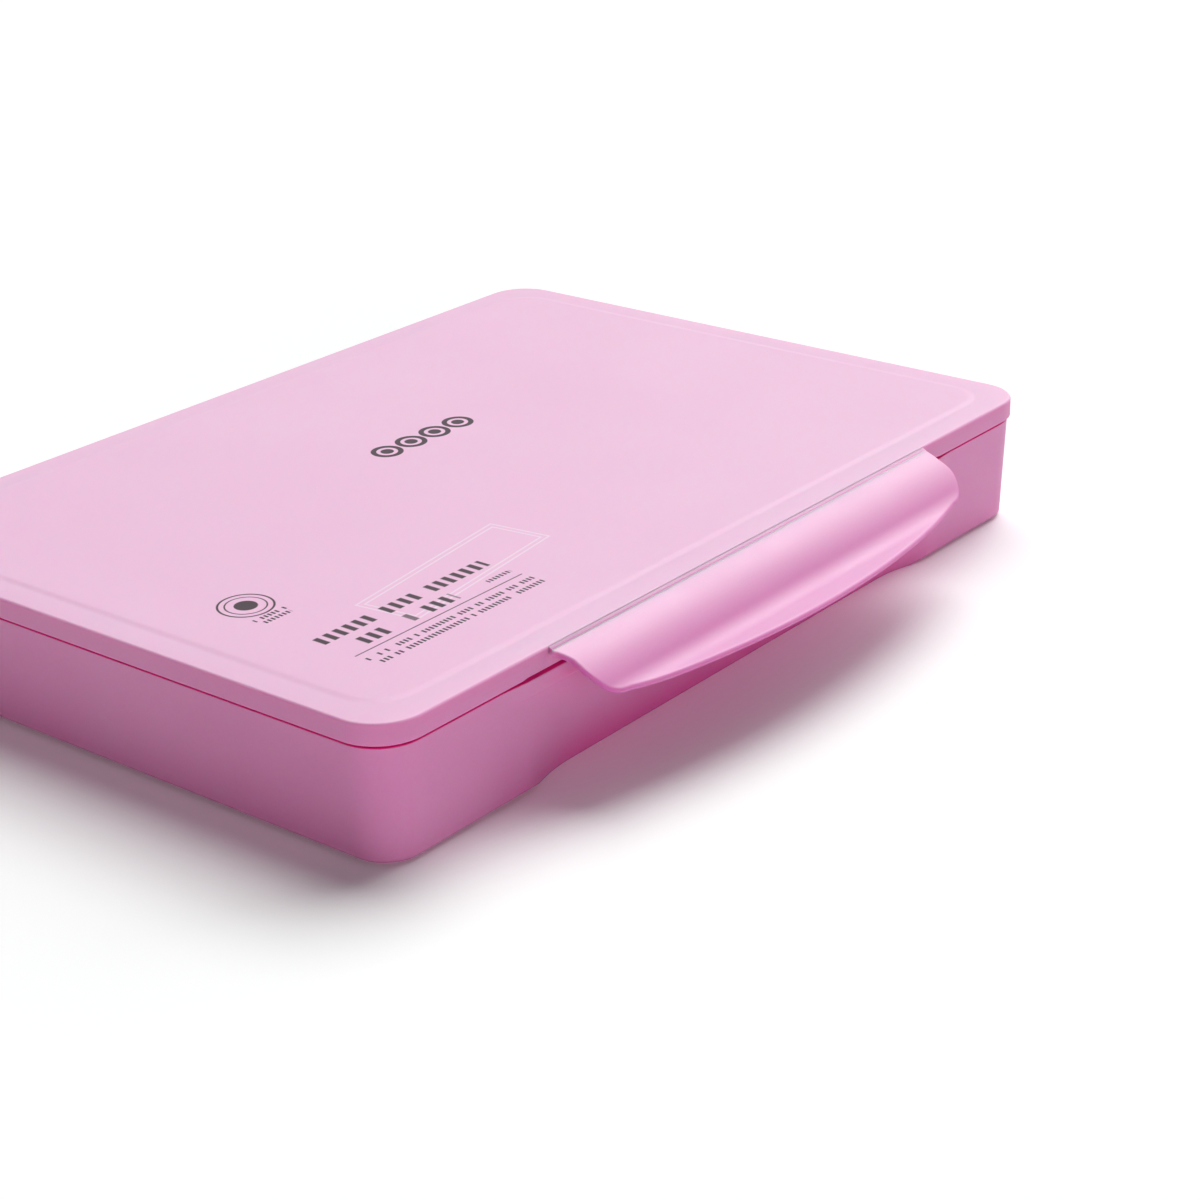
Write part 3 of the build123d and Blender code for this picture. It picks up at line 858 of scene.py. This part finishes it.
class PAINTBOX_OT_lid(bpy.types.Operator):
    """Models the lid: raised panel, soft edge, hollow underside, clips and hinge knuckles"""

    bl_idname = "paintbox.lid"
    bl_label = "Lid"

    def execute(self, context):
        sizes = context.scene.paint_box_sizes
        bm = bmesh.new()
        self.shell(bm, sizes)
        self.knuckles(bm, sizes)
        self.clips(bm)
        hinge_web(bm, sizes)
        piece(bm, "case_lid", case_material(context, printed=True), LID, ["lid"])
        return {"FINISHED"}

    def shell(self, bm, sizes, slope_steps=10):
        """The lid itself, as loops down its inside, round the skirt and up over the panel."""
        edge_height = SEAM + sizes.lid_height
        bottom = SEAM + sizes.seam_gap
        underside = PALETTE_HIGH.z
        wall = sizes.wall
        sections = [
            (wall + 1.0 * MM, underside), (wall + 0.3 * MM, underside - 0.3 * MM),
            (wall, underside - 1.0 * MM), (wall, bottom + 0.2 * MM), (wall - 0.2 * MM, bottom),
            (0.25 * MM, bottom), (0, bottom + 0.25 * MM), (0, edge_height - 3 * MM),
        ]
        edge = sizes.lid_edge
        sections += [(edge * inward, edge_height - edge * down) for inward, down in quarter_turn(6)]
        outlines = [lid_outline(inset, height, sizes) for inset, height in sections]
        for step in range(slope_steps + 1):
            share = step / slope_steps
            inset = sizes.panel_inset + sizes.panel_slope * share
            radius = sizes.corner - sizes.panel_slope * share
            height = edge_height + (PANEL_TOP - edge_height) * smooth_step(share)
            outlines.append(lid_outline(inset, height, sizes, radius))
        loft(bm, outlines)
        for vert in bm.verts:
            at_front = vert.co.y < LID_FRONT + wall + 0.5 * MM
            at_latch = abs(vert.co.x) < sizes.relief_length / 2
            if at_front and at_latch and vert.co.z < bottom + 0.3 * MM:
                vert.co.z += sizes.skirt_relief

    def knuckles(self, bm, sizes):
        """The barrel of each hinge, and the web that joins it to the lid's back wall."""
        root = LID_BACK - sizes.wall / 2
        low = HINGE.z + sizes.seam_gap
        high = HINGE.z + sizes.barrel
        web = [(root, low), (HINGE.y - sizes.pin - 0.4 * MM, low), (HINGE.y, high), (root, high)]
        half = sizes.knuckle / 2 - 0.1 * MM
        for x in hinge_places(sizes):
            centre = Vector((x, HINGE.y, HINGE.z))
            tube_along_x(bm, centre, sizes.knuckle, sizes.barrel, sizes.pin + KNUCKLE_PLAY)
            bar_of_outline(bm, web, x - half, x + half)

    def clips(self, bm, reach=100 * MM):
        """The palette's clips: two along each long side and one at each end."""
        root = PALETTE_HIGH.z + 0.9 * MM
        top = PALETTE_LOW.z - FIT_GAP
        for x in (-reach, reach):
            add_clip(bm, x, PALETTE_HIGH.y + FIT_GAP, 0, top, root)
            add_clip(bm, x, PALETTE_LOW.y - FIT_GAP, 180, top, root)
        add_clip(bm, PALETTE_HIGH.x + FIT_GAP, LID_CENTRE.y, -90, top, root)
        add_clip(bm, PALETTE_LOW.x - FIT_GAP, LID_CENTRE.y, 90, top, root)


def scoop_wall(x, z, sizes):
    """How far back the finger scoop cuts into the front wall at a point of the front."""
    ledge_bottom = SEAM - sizes.ledge_height
    half = sizes.scoop_length / 2
    flat = sizes.scoop_flat / 2
    share = smooth_step((half - abs(x)) / (half - flat))
    rise = min(max(z / ledge_bottom, 0.0), 1.0)
    foot_depth = sizes.scoop_depth + sizes.tray_draft
    depth = foot_depth + (sizes.scoop_top - foot_depth) * rise
    lead = 0.3 * MM
    return LID_FRONT + sizes.overhang - lead + (depth + lead) * share


class PAINTBOX_OT_tray(bpy.types.Operator):
    """Models the base tray: foot, drafted walls, finger scoop, ledge, rim, ribs and hinge ears"""

    bl_idname = "paintbox.tray"
    bl_label = "Base tray"

    def execute(self, context):
        sizes = context.scene.paint_box_sizes
        bm = bmesh.new()
        self.shell(bm, sizes)
        self.ribs(bm, sizes)
        self.ears(bm, sizes)
        piece(bm, "case_tray", case_material(context), BASE, ["base_tray"])
        return {"FINISHED"}

    def wall_inset(self, height, sizes):
        """The distance of the tray's outer wall inside the lid's outline at a height."""
        share = (SEAM - height) / (SEAM - sizes.foot_height)
        return sizes.overhang + sizes.tray_draft * share

    def foot(self, sizes):
        """The ring that rests on the table and the rounded bottom edge, as insets and heights."""
        inset = sizes.overhang + sizes.tray_draft + sizes.foot_inset
        ring = inset + sizes.foot_ring
        edge = sizes.tray_edge
        sections = [
            (ring, sizes.foot_recess), (ring, 0.0),
            (inset + 0.2 * MM, 0.0), (inset, 0.2 * MM), (inset, sizes.foot_height),
        ]
        for up, inward in quarter_turn(5):
            height = sizes.foot_height + edge * up
            sections.append((self.wall_inset(height, sizes) + edge * inward, height))
        return sections

    def rim(self, sizes, ease=0.4 * MM):
        """The rim that enters the lid, from the seam over its top and down to its root."""
        outer = sizes.rim_inset
        inner = outer + sizes.rim_wall
        return [
            (outer, SEAM), (outer, RIM_TOP - ease), (outer + ease, RIM_TOP),
            (inner - ease, RIM_TOP), (inner, RIM_TOP - ease), (inner, SEAM - sizes.rim_root),
        ]

    def inside(self, sizes):
        """The inner wall, from the rim's root down to the floor."""
        heights = (SEAM - sizes.rim_root, 24 * MM, 15 * MM, 8 * MM, sizes.floor + 1.5 * MM)
        sections = [(self.wall_inset(height, sizes) + sizes.wall, height) for height in heights]
        low = self.wall_inset(sizes.floor, sizes) + sizes.wall
        return sections + [(low + 0.45 * MM, sizes.floor + 0.45 * MM), (low + 1.5 * MM, sizes.floor)]

    def shell(self, bm, sizes):
        """The tray itself, as loops from the foot up the outside and down the inside."""
        ledge_bottom = SEAM - sizes.ledge_height
        sections = self.foot(sizes)
        for height in (6 * MM, 12 * MM, 18 * MM, 24 * MM, ledge_bottom - 0.6 * MM, ledge_bottom):
            sections.append((self.wall_inset(height, sizes), height))
        ledge_start = len(sections)
        for height in (ledge_bottom, ledge_bottom + 0.3 * MM, SEAM - 0.25 * MM):
            sections.append((self.wall_inset(height, sizes), height))
        sections.append((sizes.overhang + 0.25 * MM, SEAM))
        ledge_end = len(sections)
        sections += self.rim(sizes)
        inner_start = len(sections)
        sections += self.inside(sizes)
        outlines = []
        for index, (inset, height) in enumerate(sections):
            outline = lid_outline(inset, height, sizes)
            outlines.append(outline)
            ease = 0.25 * MM if index in (ledge_start, ledge_end - 1) else 0
            for spot in outline:
                if spot.y > LID_CENTRE.y:
                    continue
                if 1 < index < ledge_start:
                    spot.y = max(spot.y, scoop_wall(spot.x, height, sizes))
                elif ledge_start <= index < ledge_end:
                    spot.y += (LID_FRONT + ease - spot.y) * self.on_ledge(spot.x, sizes)
                elif index >= inner_start:
                    spot.y = max(spot.y, scoop_wall(spot.x, height, sizes) + sizes.wall)
        loft(bm, outlines)

    def on_ledge(self, x, sizes):
        """1 along the catch ledge, fading to 0 over its run-out at each end."""
        past = abs(x) - sizes.relief_length / 2
        return min(max(1 - past / sizes.ledge_run_out, 0), 1)

    def ribs(self, bm, sizes, thickness=1.2 * MM, height=7.0 * MM):
        """The low ribs that stand between the cups."""
        near, far = cup_box(1, 1)[0], cup_box(ROWS, COLUMNS)[0]
        pitch_x = (far.x - near.x) / (COLUMNS - 1)
        pitch_y = (far.y - near.y) / (ROWS - 1)
        half_x = COLUMNS * pitch_x / 2
        half_y = ROWS * pitch_y / 2
        bottom = sizes.floor - 0.5 * MM
        top = sizes.floor + height
        for column in range(COLUMNS + 1):
            x = column * pitch_x - half_x
            corner = Vector((x - thickness / 2, LID_CENTRE.y - half_y, bottom))
            block(bm, corner, Vector((x + thickness / 2, LID_CENTRE.y + half_y, top)))
        for row in range(ROWS + 1):
            y = LID_CENTRE.y + row * pitch_y - half_y
            corner = Vector((-half_x, y - thickness / 2, bottom))
            block(bm, corner, Vector((half_x, y + thickness / 2, top)))

    def ears(self, bm, sizes, gusset=7.0 * MM):
        """The ears that hold the hinge pins, each on a gusset down the back wall."""
        reach = (sizes.knuckle + sizes.ear) / 2 + sizes.ear_gap
        root = LID_BACK - sizes.overhang - sizes.wall / 2
        near = HINGE.y - sizes.pin - FIT_GAP
        low = HINGE.z - sizes.barrel
        high = SEAM - FIT_GAP
        outline = [(root, low - gusset), (near, low - 0.2 * MM), (near, high), (root, high)]
        half = sizes.ear / 2 - 0.1 * MM
        for x in hinge_places(sizes):
            for middle in (x - reach, x + reach):
                centre = Vector((middle, HINGE.y, HINGE.z))
                tube_along_x(bm, centre, sizes.ear, sizes.barrel, sizes.pin + EAR_PLAY)
                bar_of_outline(bm, outline, middle - half, middle + half)


def flap_fall(run, sizes):
    """The fall and the slope of the flap's mid-surface at a distance from its root."""
    first, steep = sizes.flap_root_slope, sizes.flap_steep_slope
    crown, trough = sizes.flap_crown, sizes.flap_trough
    crown_run = crown * (math.sin(steep) - math.sin(first))
    crown_fall = crown * (math.cos(first) - math.cos(steep))
    if run < crown_run:
        angle = math.asin(math.sin(first) + run / crown)
        return crown * (math.cos(first) - math.cos(angle)), angle
    angle = math.asin(max(math.sin(steep) - (run - crown_run) / trough, 0.0))
    return crown_fall + trough * (math.cos(angle) - math.cos(steep)), angle


def flap_front(x, sizes):
    """How far the flap reaches from the lid's face at an X along its front corners and bow."""
    reach = LID_FRONT - FLAP_LOW.y
    tip = (FLAP_HIGH.x - FLAP_LOW.x) / 2 - sizes.flap_taper
    rise = reach - sizes.flap_corner_reach
    bow = (tip * tip + rise * rise) / (2 * rise)
    corner = sizes.flap_corner
    turn = tip - corner
    level = reach - (bow - math.sqrt(bow * bow - min(abs(x), turn) ** 2))
    if abs(x) <= turn:
        return level
    return level - corner + math.sqrt(max(corner * corner - (abs(x) - turn) ** 2, 0.0))


class PAINTBOX_OT_flap(bpy.types.Operator):
    """Models the latch flap: an S-curved half-moon with a hook rib beneath it"""

    bl_idname = "paintbox.flap"
    bl_label = "Latch flap"

    def execute(self, context):
        sizes = context.scene.paint_box_sizes
        bm = bmesh.new()
        for face in (1, -1):
            self.sheet(bm, face, sizes)
        self.hook(bm, sizes)
        piece(bm, "lift_flap", case_material(context), FLAP, ["latch_flap"], 60.0)
        return {"FINISHED"}

    def stations(self, inner, span, edge):
        """Distances from end to end of a span, crowded at both ends, each with its share of the wall."""
        near = [edge * share for share in EDGE_SHARES]
        places = near + inner + [span - place for place in reversed(near)]
        eased = [math.sqrt(1 - (1 - share) ** 2) for share in EDGE_SHARES]
        return list(zip(places, eased + [1.0] * len(inner) + eased[::-1]))

    def sheet(self, bm, face, sizes, across=130, along=44):
        """The upper or lower face of the flap, which thins to nothing all round its outline."""
        half = (FLAP_HIGH.x - FLAP_LOW.x) / 2
        tip = half - sizes.flap_taper
        root = FLAP_AXIS.y + sizes.flap_wall / 2
        edge = sizes.flap_edge
        fans = [math.sin(math.pi * (step / across - 0.5)) for step in range(across + 1)]
        columns = self.stations([tip + (tip - edge) * fan for fan in fans], 2 * tip, edge)
        count = len(columns) - 1
        rows = along + 2 * len(EDGE_SHARES)
        made = bmesh.ops.create_grid(bm, x_segments=count, y_segments=rows, size=1.0)["verts"]
        for vert in made:
            place, column_share = columns[round((vert.co.x + 1) / 2 * count)]
            x = place - tip
            reach = flap_front(x, sizes) - (LID_FRONT - root)
            inner = [edge + (reach - 2 * edge) * step / along for step in range(along + 1)]
            place, row_share = self.stations(inner, reach, edge)[round((1 - vert.co.y) / 2 * rows)]
            run = max(place - sizes.flap_wall / 2, 0)
            fall, slope = flap_fall(run, sizes)
            straight = sizes.flap_corner_reach - sizes.flap_corner
            x *= 1 + (half / tip - 1) * max(1 - run / straight, 0)
            rise = face * sizes.flap_wall / 2 * column_share * row_share
            vert.co = (x, root - place - rise * math.sin(slope), FLAP_AXIS.z - fall + rise * math.cos(slope))

    def hook(self, bm, sizes, hook_length=150 * MM, reach=0.8 * MM, height=1.4 * MM, wall=1.6 * MM):
        """The rib under the flap whose nose holds below the tray's ledge."""
        face = LID_FRONT - FIT_GAP
        back = face - wall
        nose = LID_FRONT + reach
        top = SEAM - sizes.ledge_height - FIT_GAP
        bottom = top - height
        outline = [
            (face, FLAP_AXIS.z), (face, top), (nose, top), (nose, top - height / 2),
            (face, bottom), (back, bottom), (back, FLAP_AXIS.z),
        ]
        bar_of_outline(bm, outline, -hook_length / 2, hook_length / 2, 0.15 * MM)


def cup_box(row, column):
    """The lowest and highest corner of one cup."""
    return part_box(f"cup_row_{row}_column_{column}")


def cup_places():
    """Every cup as its row, its column and its gouache."""
    names = list(GOUACHE)
    for row in range(ROWS):
        for column in range(COLUMNS):
            yield row + 1, column + 1, names[row * COLUMNS + column]


def cup_outline(low, high, inset, height, radius):
    """The outline of a cup's flange at a distance inside it."""
    centre = (low + high) / 2
    size = high - low
    return rounded_outline(centre, size.x - 2 * inset, size.y - 2 * inset, radius, height, 7)


def cup_lean(low, high, height, sizes):
    """How far a cup's wall leans in at a height."""
    return sizes.cup_draft * (high.z - height) / (high.z - low.z)


class PAINTBOX_OT_cups(bpy.types.Operator):
    """Models the 24 open cups, each with a rolled flange and a rounded floor"""

    bl_idname = "paintbox.cups"
    bl_label = "Cups"

    def execute(self, context):
        sizes = context.scene.paint_box_sizes
        colours = context.scene.paint_box_colours
        plastic = material("cup_finish", cup_plastic, colours)
        for row, column, _ in cup_places():
            low, high = cup_box(row, column)
            bm = bmesh.new()
            loft(bm, self.outlines(low, high, sizes))
            place = f"row_{row}_column_{column}"
            piece(bm, f"paint_cup_{place}", plastic, BASE, [f"cup_{place}"])
        return {"FINISHED"}

    def outlines(self, low, high, sizes):
        """The outlines of one cup: up the outside, over the flange and down the inside."""
        corner = sizes.cup_corner
        flange = sizes.cup_flange
        wall = sizes.cup_wall
        top = high.z
        under = top - 1.2 * MM
        bottom = low.z
        floor = bottom + wall
        base = flange + cup_lean(low, high, bottom, sizes)
        inner = base + wall
        mouth = flange + wall
        sections = [
            (base + 1.6 * MM, bottom, corner - 2.4 * MM),
            (base + 0.5 * MM, bottom + 0.5 * MM, corner - 1.4 * MM),
            (base, bottom + 1.6 * MM, corner - 1.0 * MM),
            (flange, under, corner - 0.6 * MM),
            (0.15 * MM, under, corner),
            (0, under + 0.15 * MM, corner),
            (0, top - 0.25 * MM, corner),
            (0.25 * MM, top, corner - 0.2 * MM),
            (mouth - 0.35 * MM, top, corner - 1.0 * MM),
            (mouth, top - 0.35 * MM, corner - 1.2 * MM),
            (inner, floor + 1.6 * MM, corner - 1.8 * MM),
            (inner + 0.5 * MM, floor + 0.5 * MM, corner - 2.2 * MM),
            (inner + 1.6 * MM, floor, corner - 3.0 * MM),
        ]
        return [cup_outline(low, high, *section) for section in sections]


class PAINTBOX_OT_paints(bpy.types.Operator):
    """Models the gouache in every cup, with a soft rippled top that climbs at the walls"""

    bl_idname = "paintbox.paints"
    bl_label = "Gouache"

    def execute(self, context):
        sizes = context.scene.paint_box_sizes
        for number, (row, column, name) in enumerate(cup_places()):
            place = f"row_{row}_column_{column}"
            paint_low, paint_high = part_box(f"paint_{place}")
            low, high = cup_box(row, column)
            bm = bmesh.new()
            self.fill(bm, low, high, paint_low.z, paint_high.z, number, sizes)
            finish = material(f"{name}_gouache_finish", gouache_paint, name, GOUACHE[name])
            piece(bm, f"gouache_{place}", finish, BASE, [f"paint_{place}"], 60.0)
        return {"FINISHED"}

    def fill(self, bm, low, high, bottom, top, number, sizes, rings=14):
        """The body of paint in one cup, a hair clear of its walls."""
        wall = sizes.cup_flange + sizes.cup_wall + 0.15 * MM
        corner = sizes.cup_corner - 1.9 * MM
        inset_low = wall + cup_lean(low, high, bottom, sizes)
        inset_top = wall + cup_lean(low, high, top, sizes)
        outlines = [
            cup_outline(low, high, inset_low + 1.7 * MM, bottom + 0.1 * MM, corner - 1.6 * MM),
            cup_outline(low, high, inset_low + 0.1 * MM, bottom + 1.7 * MM, corner - 0.4 * MM),
            cup_outline(low, high, inset_top, top - 0.35 * MM, corner),
        ]
        half = (high.x - low.x) / 2 - inset_top
        for step in range(rings):
            inward = 0.25 * MM + (half - 2.5 * MM) * (step / (rings - 1)) ** 1.3
            radius = max(corner - inward * 0.35, 2.0 * MM)
            outline = cup_outline(low, high, inset_top + inward, top - 0.2 * MM, radius)
            outlines.append(outline)
            calm = min(inward / (3 * MM), 1.0)
            climb = 0.15 * MM * math.exp(-inward / (1.2 * MM))
            for spot in outline:
                wave = Vector((spot.x / (11 * MM), spot.y / (11 * MM), number * 3.1))
                swell = noise.noise(wave) + 0.45 * noise.noise(wave * 2.7)
                spot.z += climb + swell * 0.42 * MM * calm - 0.35 * MM * calm
        loft(bm, outlines)


class PAINTBOX_OT_films(bpy.types.Operator):
    """Models the clear film lids, six to a row, each with a raised seal line"""

    bl_idname = "paintbox.films"
    bl_label = "Film lids"

    def execute(self, context):
        colours = context.scene.paint_box_colours
        sizes = context.scene.paint_box_sizes
        plastic = material("film_finish", film_plastic, colours)
        for row in range(1, ROWS + 1):
            node = f"film_lids_row_{row}"
            low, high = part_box(node)
            bm = bmesh.new()
            for column in range(1, COLUMNS + 1):
                self.film(bm, *cup_box(row, column), low.z, high.z, sizes)
            piece(bm, f"clear_films_row_{row}", plastic, BASE, [node], 50.0)
        return {"FINISHED"}

    def film(self, bm, cup_low, cup_high, bottom, top, sizes, thin=0.12 * MM):
        """One film: flat on the flange, with a raised seal line round the cup's mouth."""
        corner = sizes.cup_corner
        flange = sizes.cup_flange + sizes.cup_wall
        middle = flange + 5 * MM
        under = bottom + 0.02 * MM
        over = under + thin
        sections = [
            (middle, under, corner - 2 * MM), (0.4 * MM, under, corner),
            (0.4 * MM, over, corner), (0.9 * MM, over, corner),
            (1.2 * MM, top, corner - 0.2 * MM), (flange - 0.5 * MM, top, corner - 0.6 * MM),
            (flange - 0.2 * MM, over, corner - 0.8 * MM), (middle, over, corner - 2 * MM),
        ]
        loft(bm, [cup_outline(cup_low, cup_high, *section) for section in sections])


class PAINTBOX_OT_palette(bpy.types.Operator):
    """Models the mixing palette with a row of small wells and a row of mixing areas"""

    bl_idname = "paintbox.palette"
    bl_label = "Mixing palette"

    def execute(self, context):
        sizes = context.scene.paint_box_sizes
        colours = context.scene.paint_box_colours
        low, high = PALETTE_LOW, PALETTE_HIGH
        centre = (low + high) / 2
        size = high - low
        corner = sizes.palette_corner
        edge = 0.8 * MM
        bm = bmesh.new()
        sections = [
            (1.2 * MM, high.z), (0.3 * MM, high.z - 0.3 * MM), (0, high.z - edge),
            (0, low.z + edge), (0.25 * MM, low.z + 0.25 * MM), (edge, low.z),
        ]
        outlines = [
            rounded_outline(centre, size.x - 2 * inset, size.y - 2 * inset, corner - inset, height, 9)
            for inset, height in sections
        ]
        face = loft(bm, outlines, cap_high=False)
        for place in self.places(size, centre, sizes):
            face += self.well(bm, *place, sizes)
        bmesh.ops.triangle_fill(bm, edges=face, use_beauty=True, use_dissolve=True, normal=(0, 0, -1))
        plastic = material("palette_finish", palette_plastic, colours)
        piece(bm, "paint_palette", plastic, LID, ["mixing_palette"], 50.0)
        return {"FINISHED"}

    def places(self, size, centre, sizes):
        """The middle and the size of every well."""
        usable = size.x - 2 * sizes.palette_border + sizes.palette_web
        front = centre.y - size.y / 2 + sizes.palette_border
        area_depth = size.y - 2 * sizes.palette_border - sizes.small_well_depth - sizes.palette_web
        area_y = front + sizes.small_well_depth + sizes.palette_web + area_depth / 2
        rows = (
            (sizes.small_wells, sizes.small_well_depth, front + sizes.small_well_depth / 2),
            (sizes.mixing_areas, area_depth, area_y),
        )
        for count, depth, y in rows:
            pitch = usable / count
            for number in range(count):
                x = centre.x + (number - (count - 1) / 2) * pitch
                yield Vector((x, y, 0)), pitch - sizes.palette_web, depth

    def well(self, bm, middle, across, deep, sizes, bend=2.0 * MM):
        """One well with an eased mouth and a rounded floor; gives the edges of its mouth."""
        mouth = PALETTE_LOW.z
        floor = PALETTE_HIGH.z - sizes.palette_floor
        radius = sizes.well_corner
        sections = [(bend * inward, floor - bend * down) for down, inward in quarter_turn(4)]
        sections += [(0, mouth + 0.5 * MM), (-0.15 * MM, mouth + 0.15 * MM), (-0.5 * MM, mouth)]
        outlines = [
            rounded_outline(middle, across - 2 * inset, deep - 2 * inset, radius - inset * 0.6, height, 6)
            for inset, height in sections
        ]
        return loft(bm, outlines, cap_high=False)


class PAINTBOX_OT_pins(bpy.types.Operator):
    """Models the two hinge pins with eased ends"""

    bl_idname = "paintbox.pins"
    bl_label = "Hinge pins"

    def execute(self, context):
        sizes = context.scene.paint_box_sizes
        plastic = material("pin_finish", pin_plastic, context.scene.paint_box_colours)
        for side in ("left", "right"):
            low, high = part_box(f"hinge_pin_{side}")
            bm = bmesh.new()
            tube_along_x(bm, (low + high) / 2, high.x - low.x, sizes.pin, 0, 0.3 * MM)
            piece(bm, f"hinge_rod_{side}", plastic, BASE, [f"hinge_pin_{side}"])
        return {"FINISHED"}


class PAINTBOX_OT_studio(bpy.types.Operator):
    """Sets the pale floor, the soft lamps, the white surroundings and the camera"""

    bl_idname = "paintbox.studio"
    bl_label = "Studio"

    def execute(self, context):
        self.camera(context)
        self.floor(context)
        self.lamps()
        self.surroundings(context)
        context.scene.view_settings.view_transform = "Standard"
        return {"FINISHED"}

    def camera(self, context):
        """The camera, turned about Z, tilted down and rolled about its own line of sight."""
        data = bpy.data.cameras.new("camera")
        data.lens = CAMERA["lens"]
        data.sensor_width = CAMERA["sensor"]
        data.clip_start = CAMERA["near"] * MM
        data.clip_end = CAMERA["far"] * MM
        made = add_object("camera", data)
        made.matrix_world = (
            Matrix.Translation(Vector(CAMERA["place"]) * MM)
            @ Matrix.Rotation(CAMERA["yaw"], 4, "Z")
            @ Matrix.Rotation(math.pi / 2 - CAMERA["pitch"], 4, "X")
            @ Matrix.Rotation(CAMERA["roll"], 4, "Z")
        )
        context.scene.camera = made

    def floor(self, context):
        """A wide pale floor that takes the object's shadow and stays white where it is lit."""
        bm = bmesh.new()
        bmesh.ops.create_circle(bm, cap_ends=True, segments=96, radius=FLOOR_RADIUS)
        mesh = bpy.data.meshes.new("studio_floor")
        bm.to_mesh(mesh)
        bm.free()
        made = add_object("studio_floor", mesh)
        shader = Shader("studio_floor")
        tone = tuple(context.scene.paint_box_colours.floor)
        paper = shader.noise(1.2 * MM, detail=2.0)
        soft = tuple(channel * 0.985 for channel in tone)
        sheet = shader.blend(paper, soft, tone)
        seen = tuple(channel * FLOOR_GAIN for channel in tone)
        shown = shader.blend(shader.node("ShaderNodeLightPath"), sheet, seen)
        diffuse = shader.node("ShaderNodeBsdfDiffuse", sockets={"Color": shown})
        shader.node("ShaderNodeOutputMaterial", sockets={"Surface": diffuse})
        mesh.materials.append(shader.owner)

    def lamps(self):
        """Wide distant lamps, so that the light is even over the whole floor."""
        for name, lamp in LAMPS.items():
            data = bpy.data.lights.new(name, "SUN")
            data.energy = lamp["strength"]
            data.angle = math.radians(lamp["angle"])
            made = add_object(name, data)
            made.rotation_mode = "QUATERNION"
            made.rotation_quaternion = Vector(lamp["from"]).to_track_quat("Z", "Y")

    def surroundings(self, context):
        """White surroundings where they are seen or mirrored, and a plain level elsewhere."""
        shader = Shader("studio", "worlds")
        context.scene.world = shader.owner
        kinds = ("Is Camera Ray", "Is Glossy Ray", "Is Transmission Ray")
        camera, glossy, clear = [shader.node("ShaderNodeLightPath", output=kind) for kind in kinds]
        shown = camera.larger(glossy).larger(clear)
        level = shader.node("ShaderNodeMapRange", sockets={"Value": shown, "To Min": ROOM_LIGHT})
        sockets = {"Color": (1.0, 1.0, 1.0, 1.0), "Strength": level}
        background = shader.node("ShaderNodeBackground", sockets=sockets)
        shader.node("ShaderNodeOutputWorld", sockets={"Surface": background})


OPERATORS = (
    PAINTBOX_OT_studio,
    PAINTBOX_OT_tray,
    PAINTBOX_OT_lid,
    PAINTBOX_OT_flap,
    PAINTBOX_OT_cups,
    PAINTBOX_OT_paints,
    PAINTBOX_OT_films,
    PAINTBOX_OT_palette,
    PAINTBOX_OT_pins,
)


class PAINTBOX_PT_panel(bpy.types.Panel):
    """Lists the operators and the sizes and colours that they read"""

    bl_idname = "PAINTBOX_PT_panel"
    bl_label = "Paint Box"
    bl_space_type = "VIEW_3D"
    bl_region_type = "UI"
    bl_category = "Paint Box"

    def draw(self, context):
        for operator in OPERATORS:
            self.layout.operator(operator.bl_idname)
        for group in (context.scene.paint_box_sizes, context.scene.paint_box_colours):
            column = self.layout.column()
            for name in group.__annotations__:
                column.prop(group, name)


CLASSES = (PaintBoxSizes, PaintBoxColours, *OPERATORS, PAINTBOX_PT_panel)


def register():
    """Registers the classes and hangs the two groups on the scene."""
    for item in CLASSES:
        bpy.utils.register_class(item)
    bpy.types.Scene.paint_box_sizes = PointerProperty(type=PaintBoxSizes)
    bpy.types.Scene.paint_box_colours = PointerProperty(type=PaintBoxColours)


def unregister():
    """Removes the groups and the classes."""
    del bpy.types.Scene.paint_box_colours
    del bpy.types.Scene.paint_box_sizes
    for item in reversed(CLASSES):
        bpy.utils.unregister_class(item)


def main():
    """Builds the studio and every piece."""
    register()
    for operator in OPERATORS:
        group, name = operator.bl_idname.split(".")
        getattr(getattr(bpy.ops, group), name)()


if __name__ == "__main__":
    main()
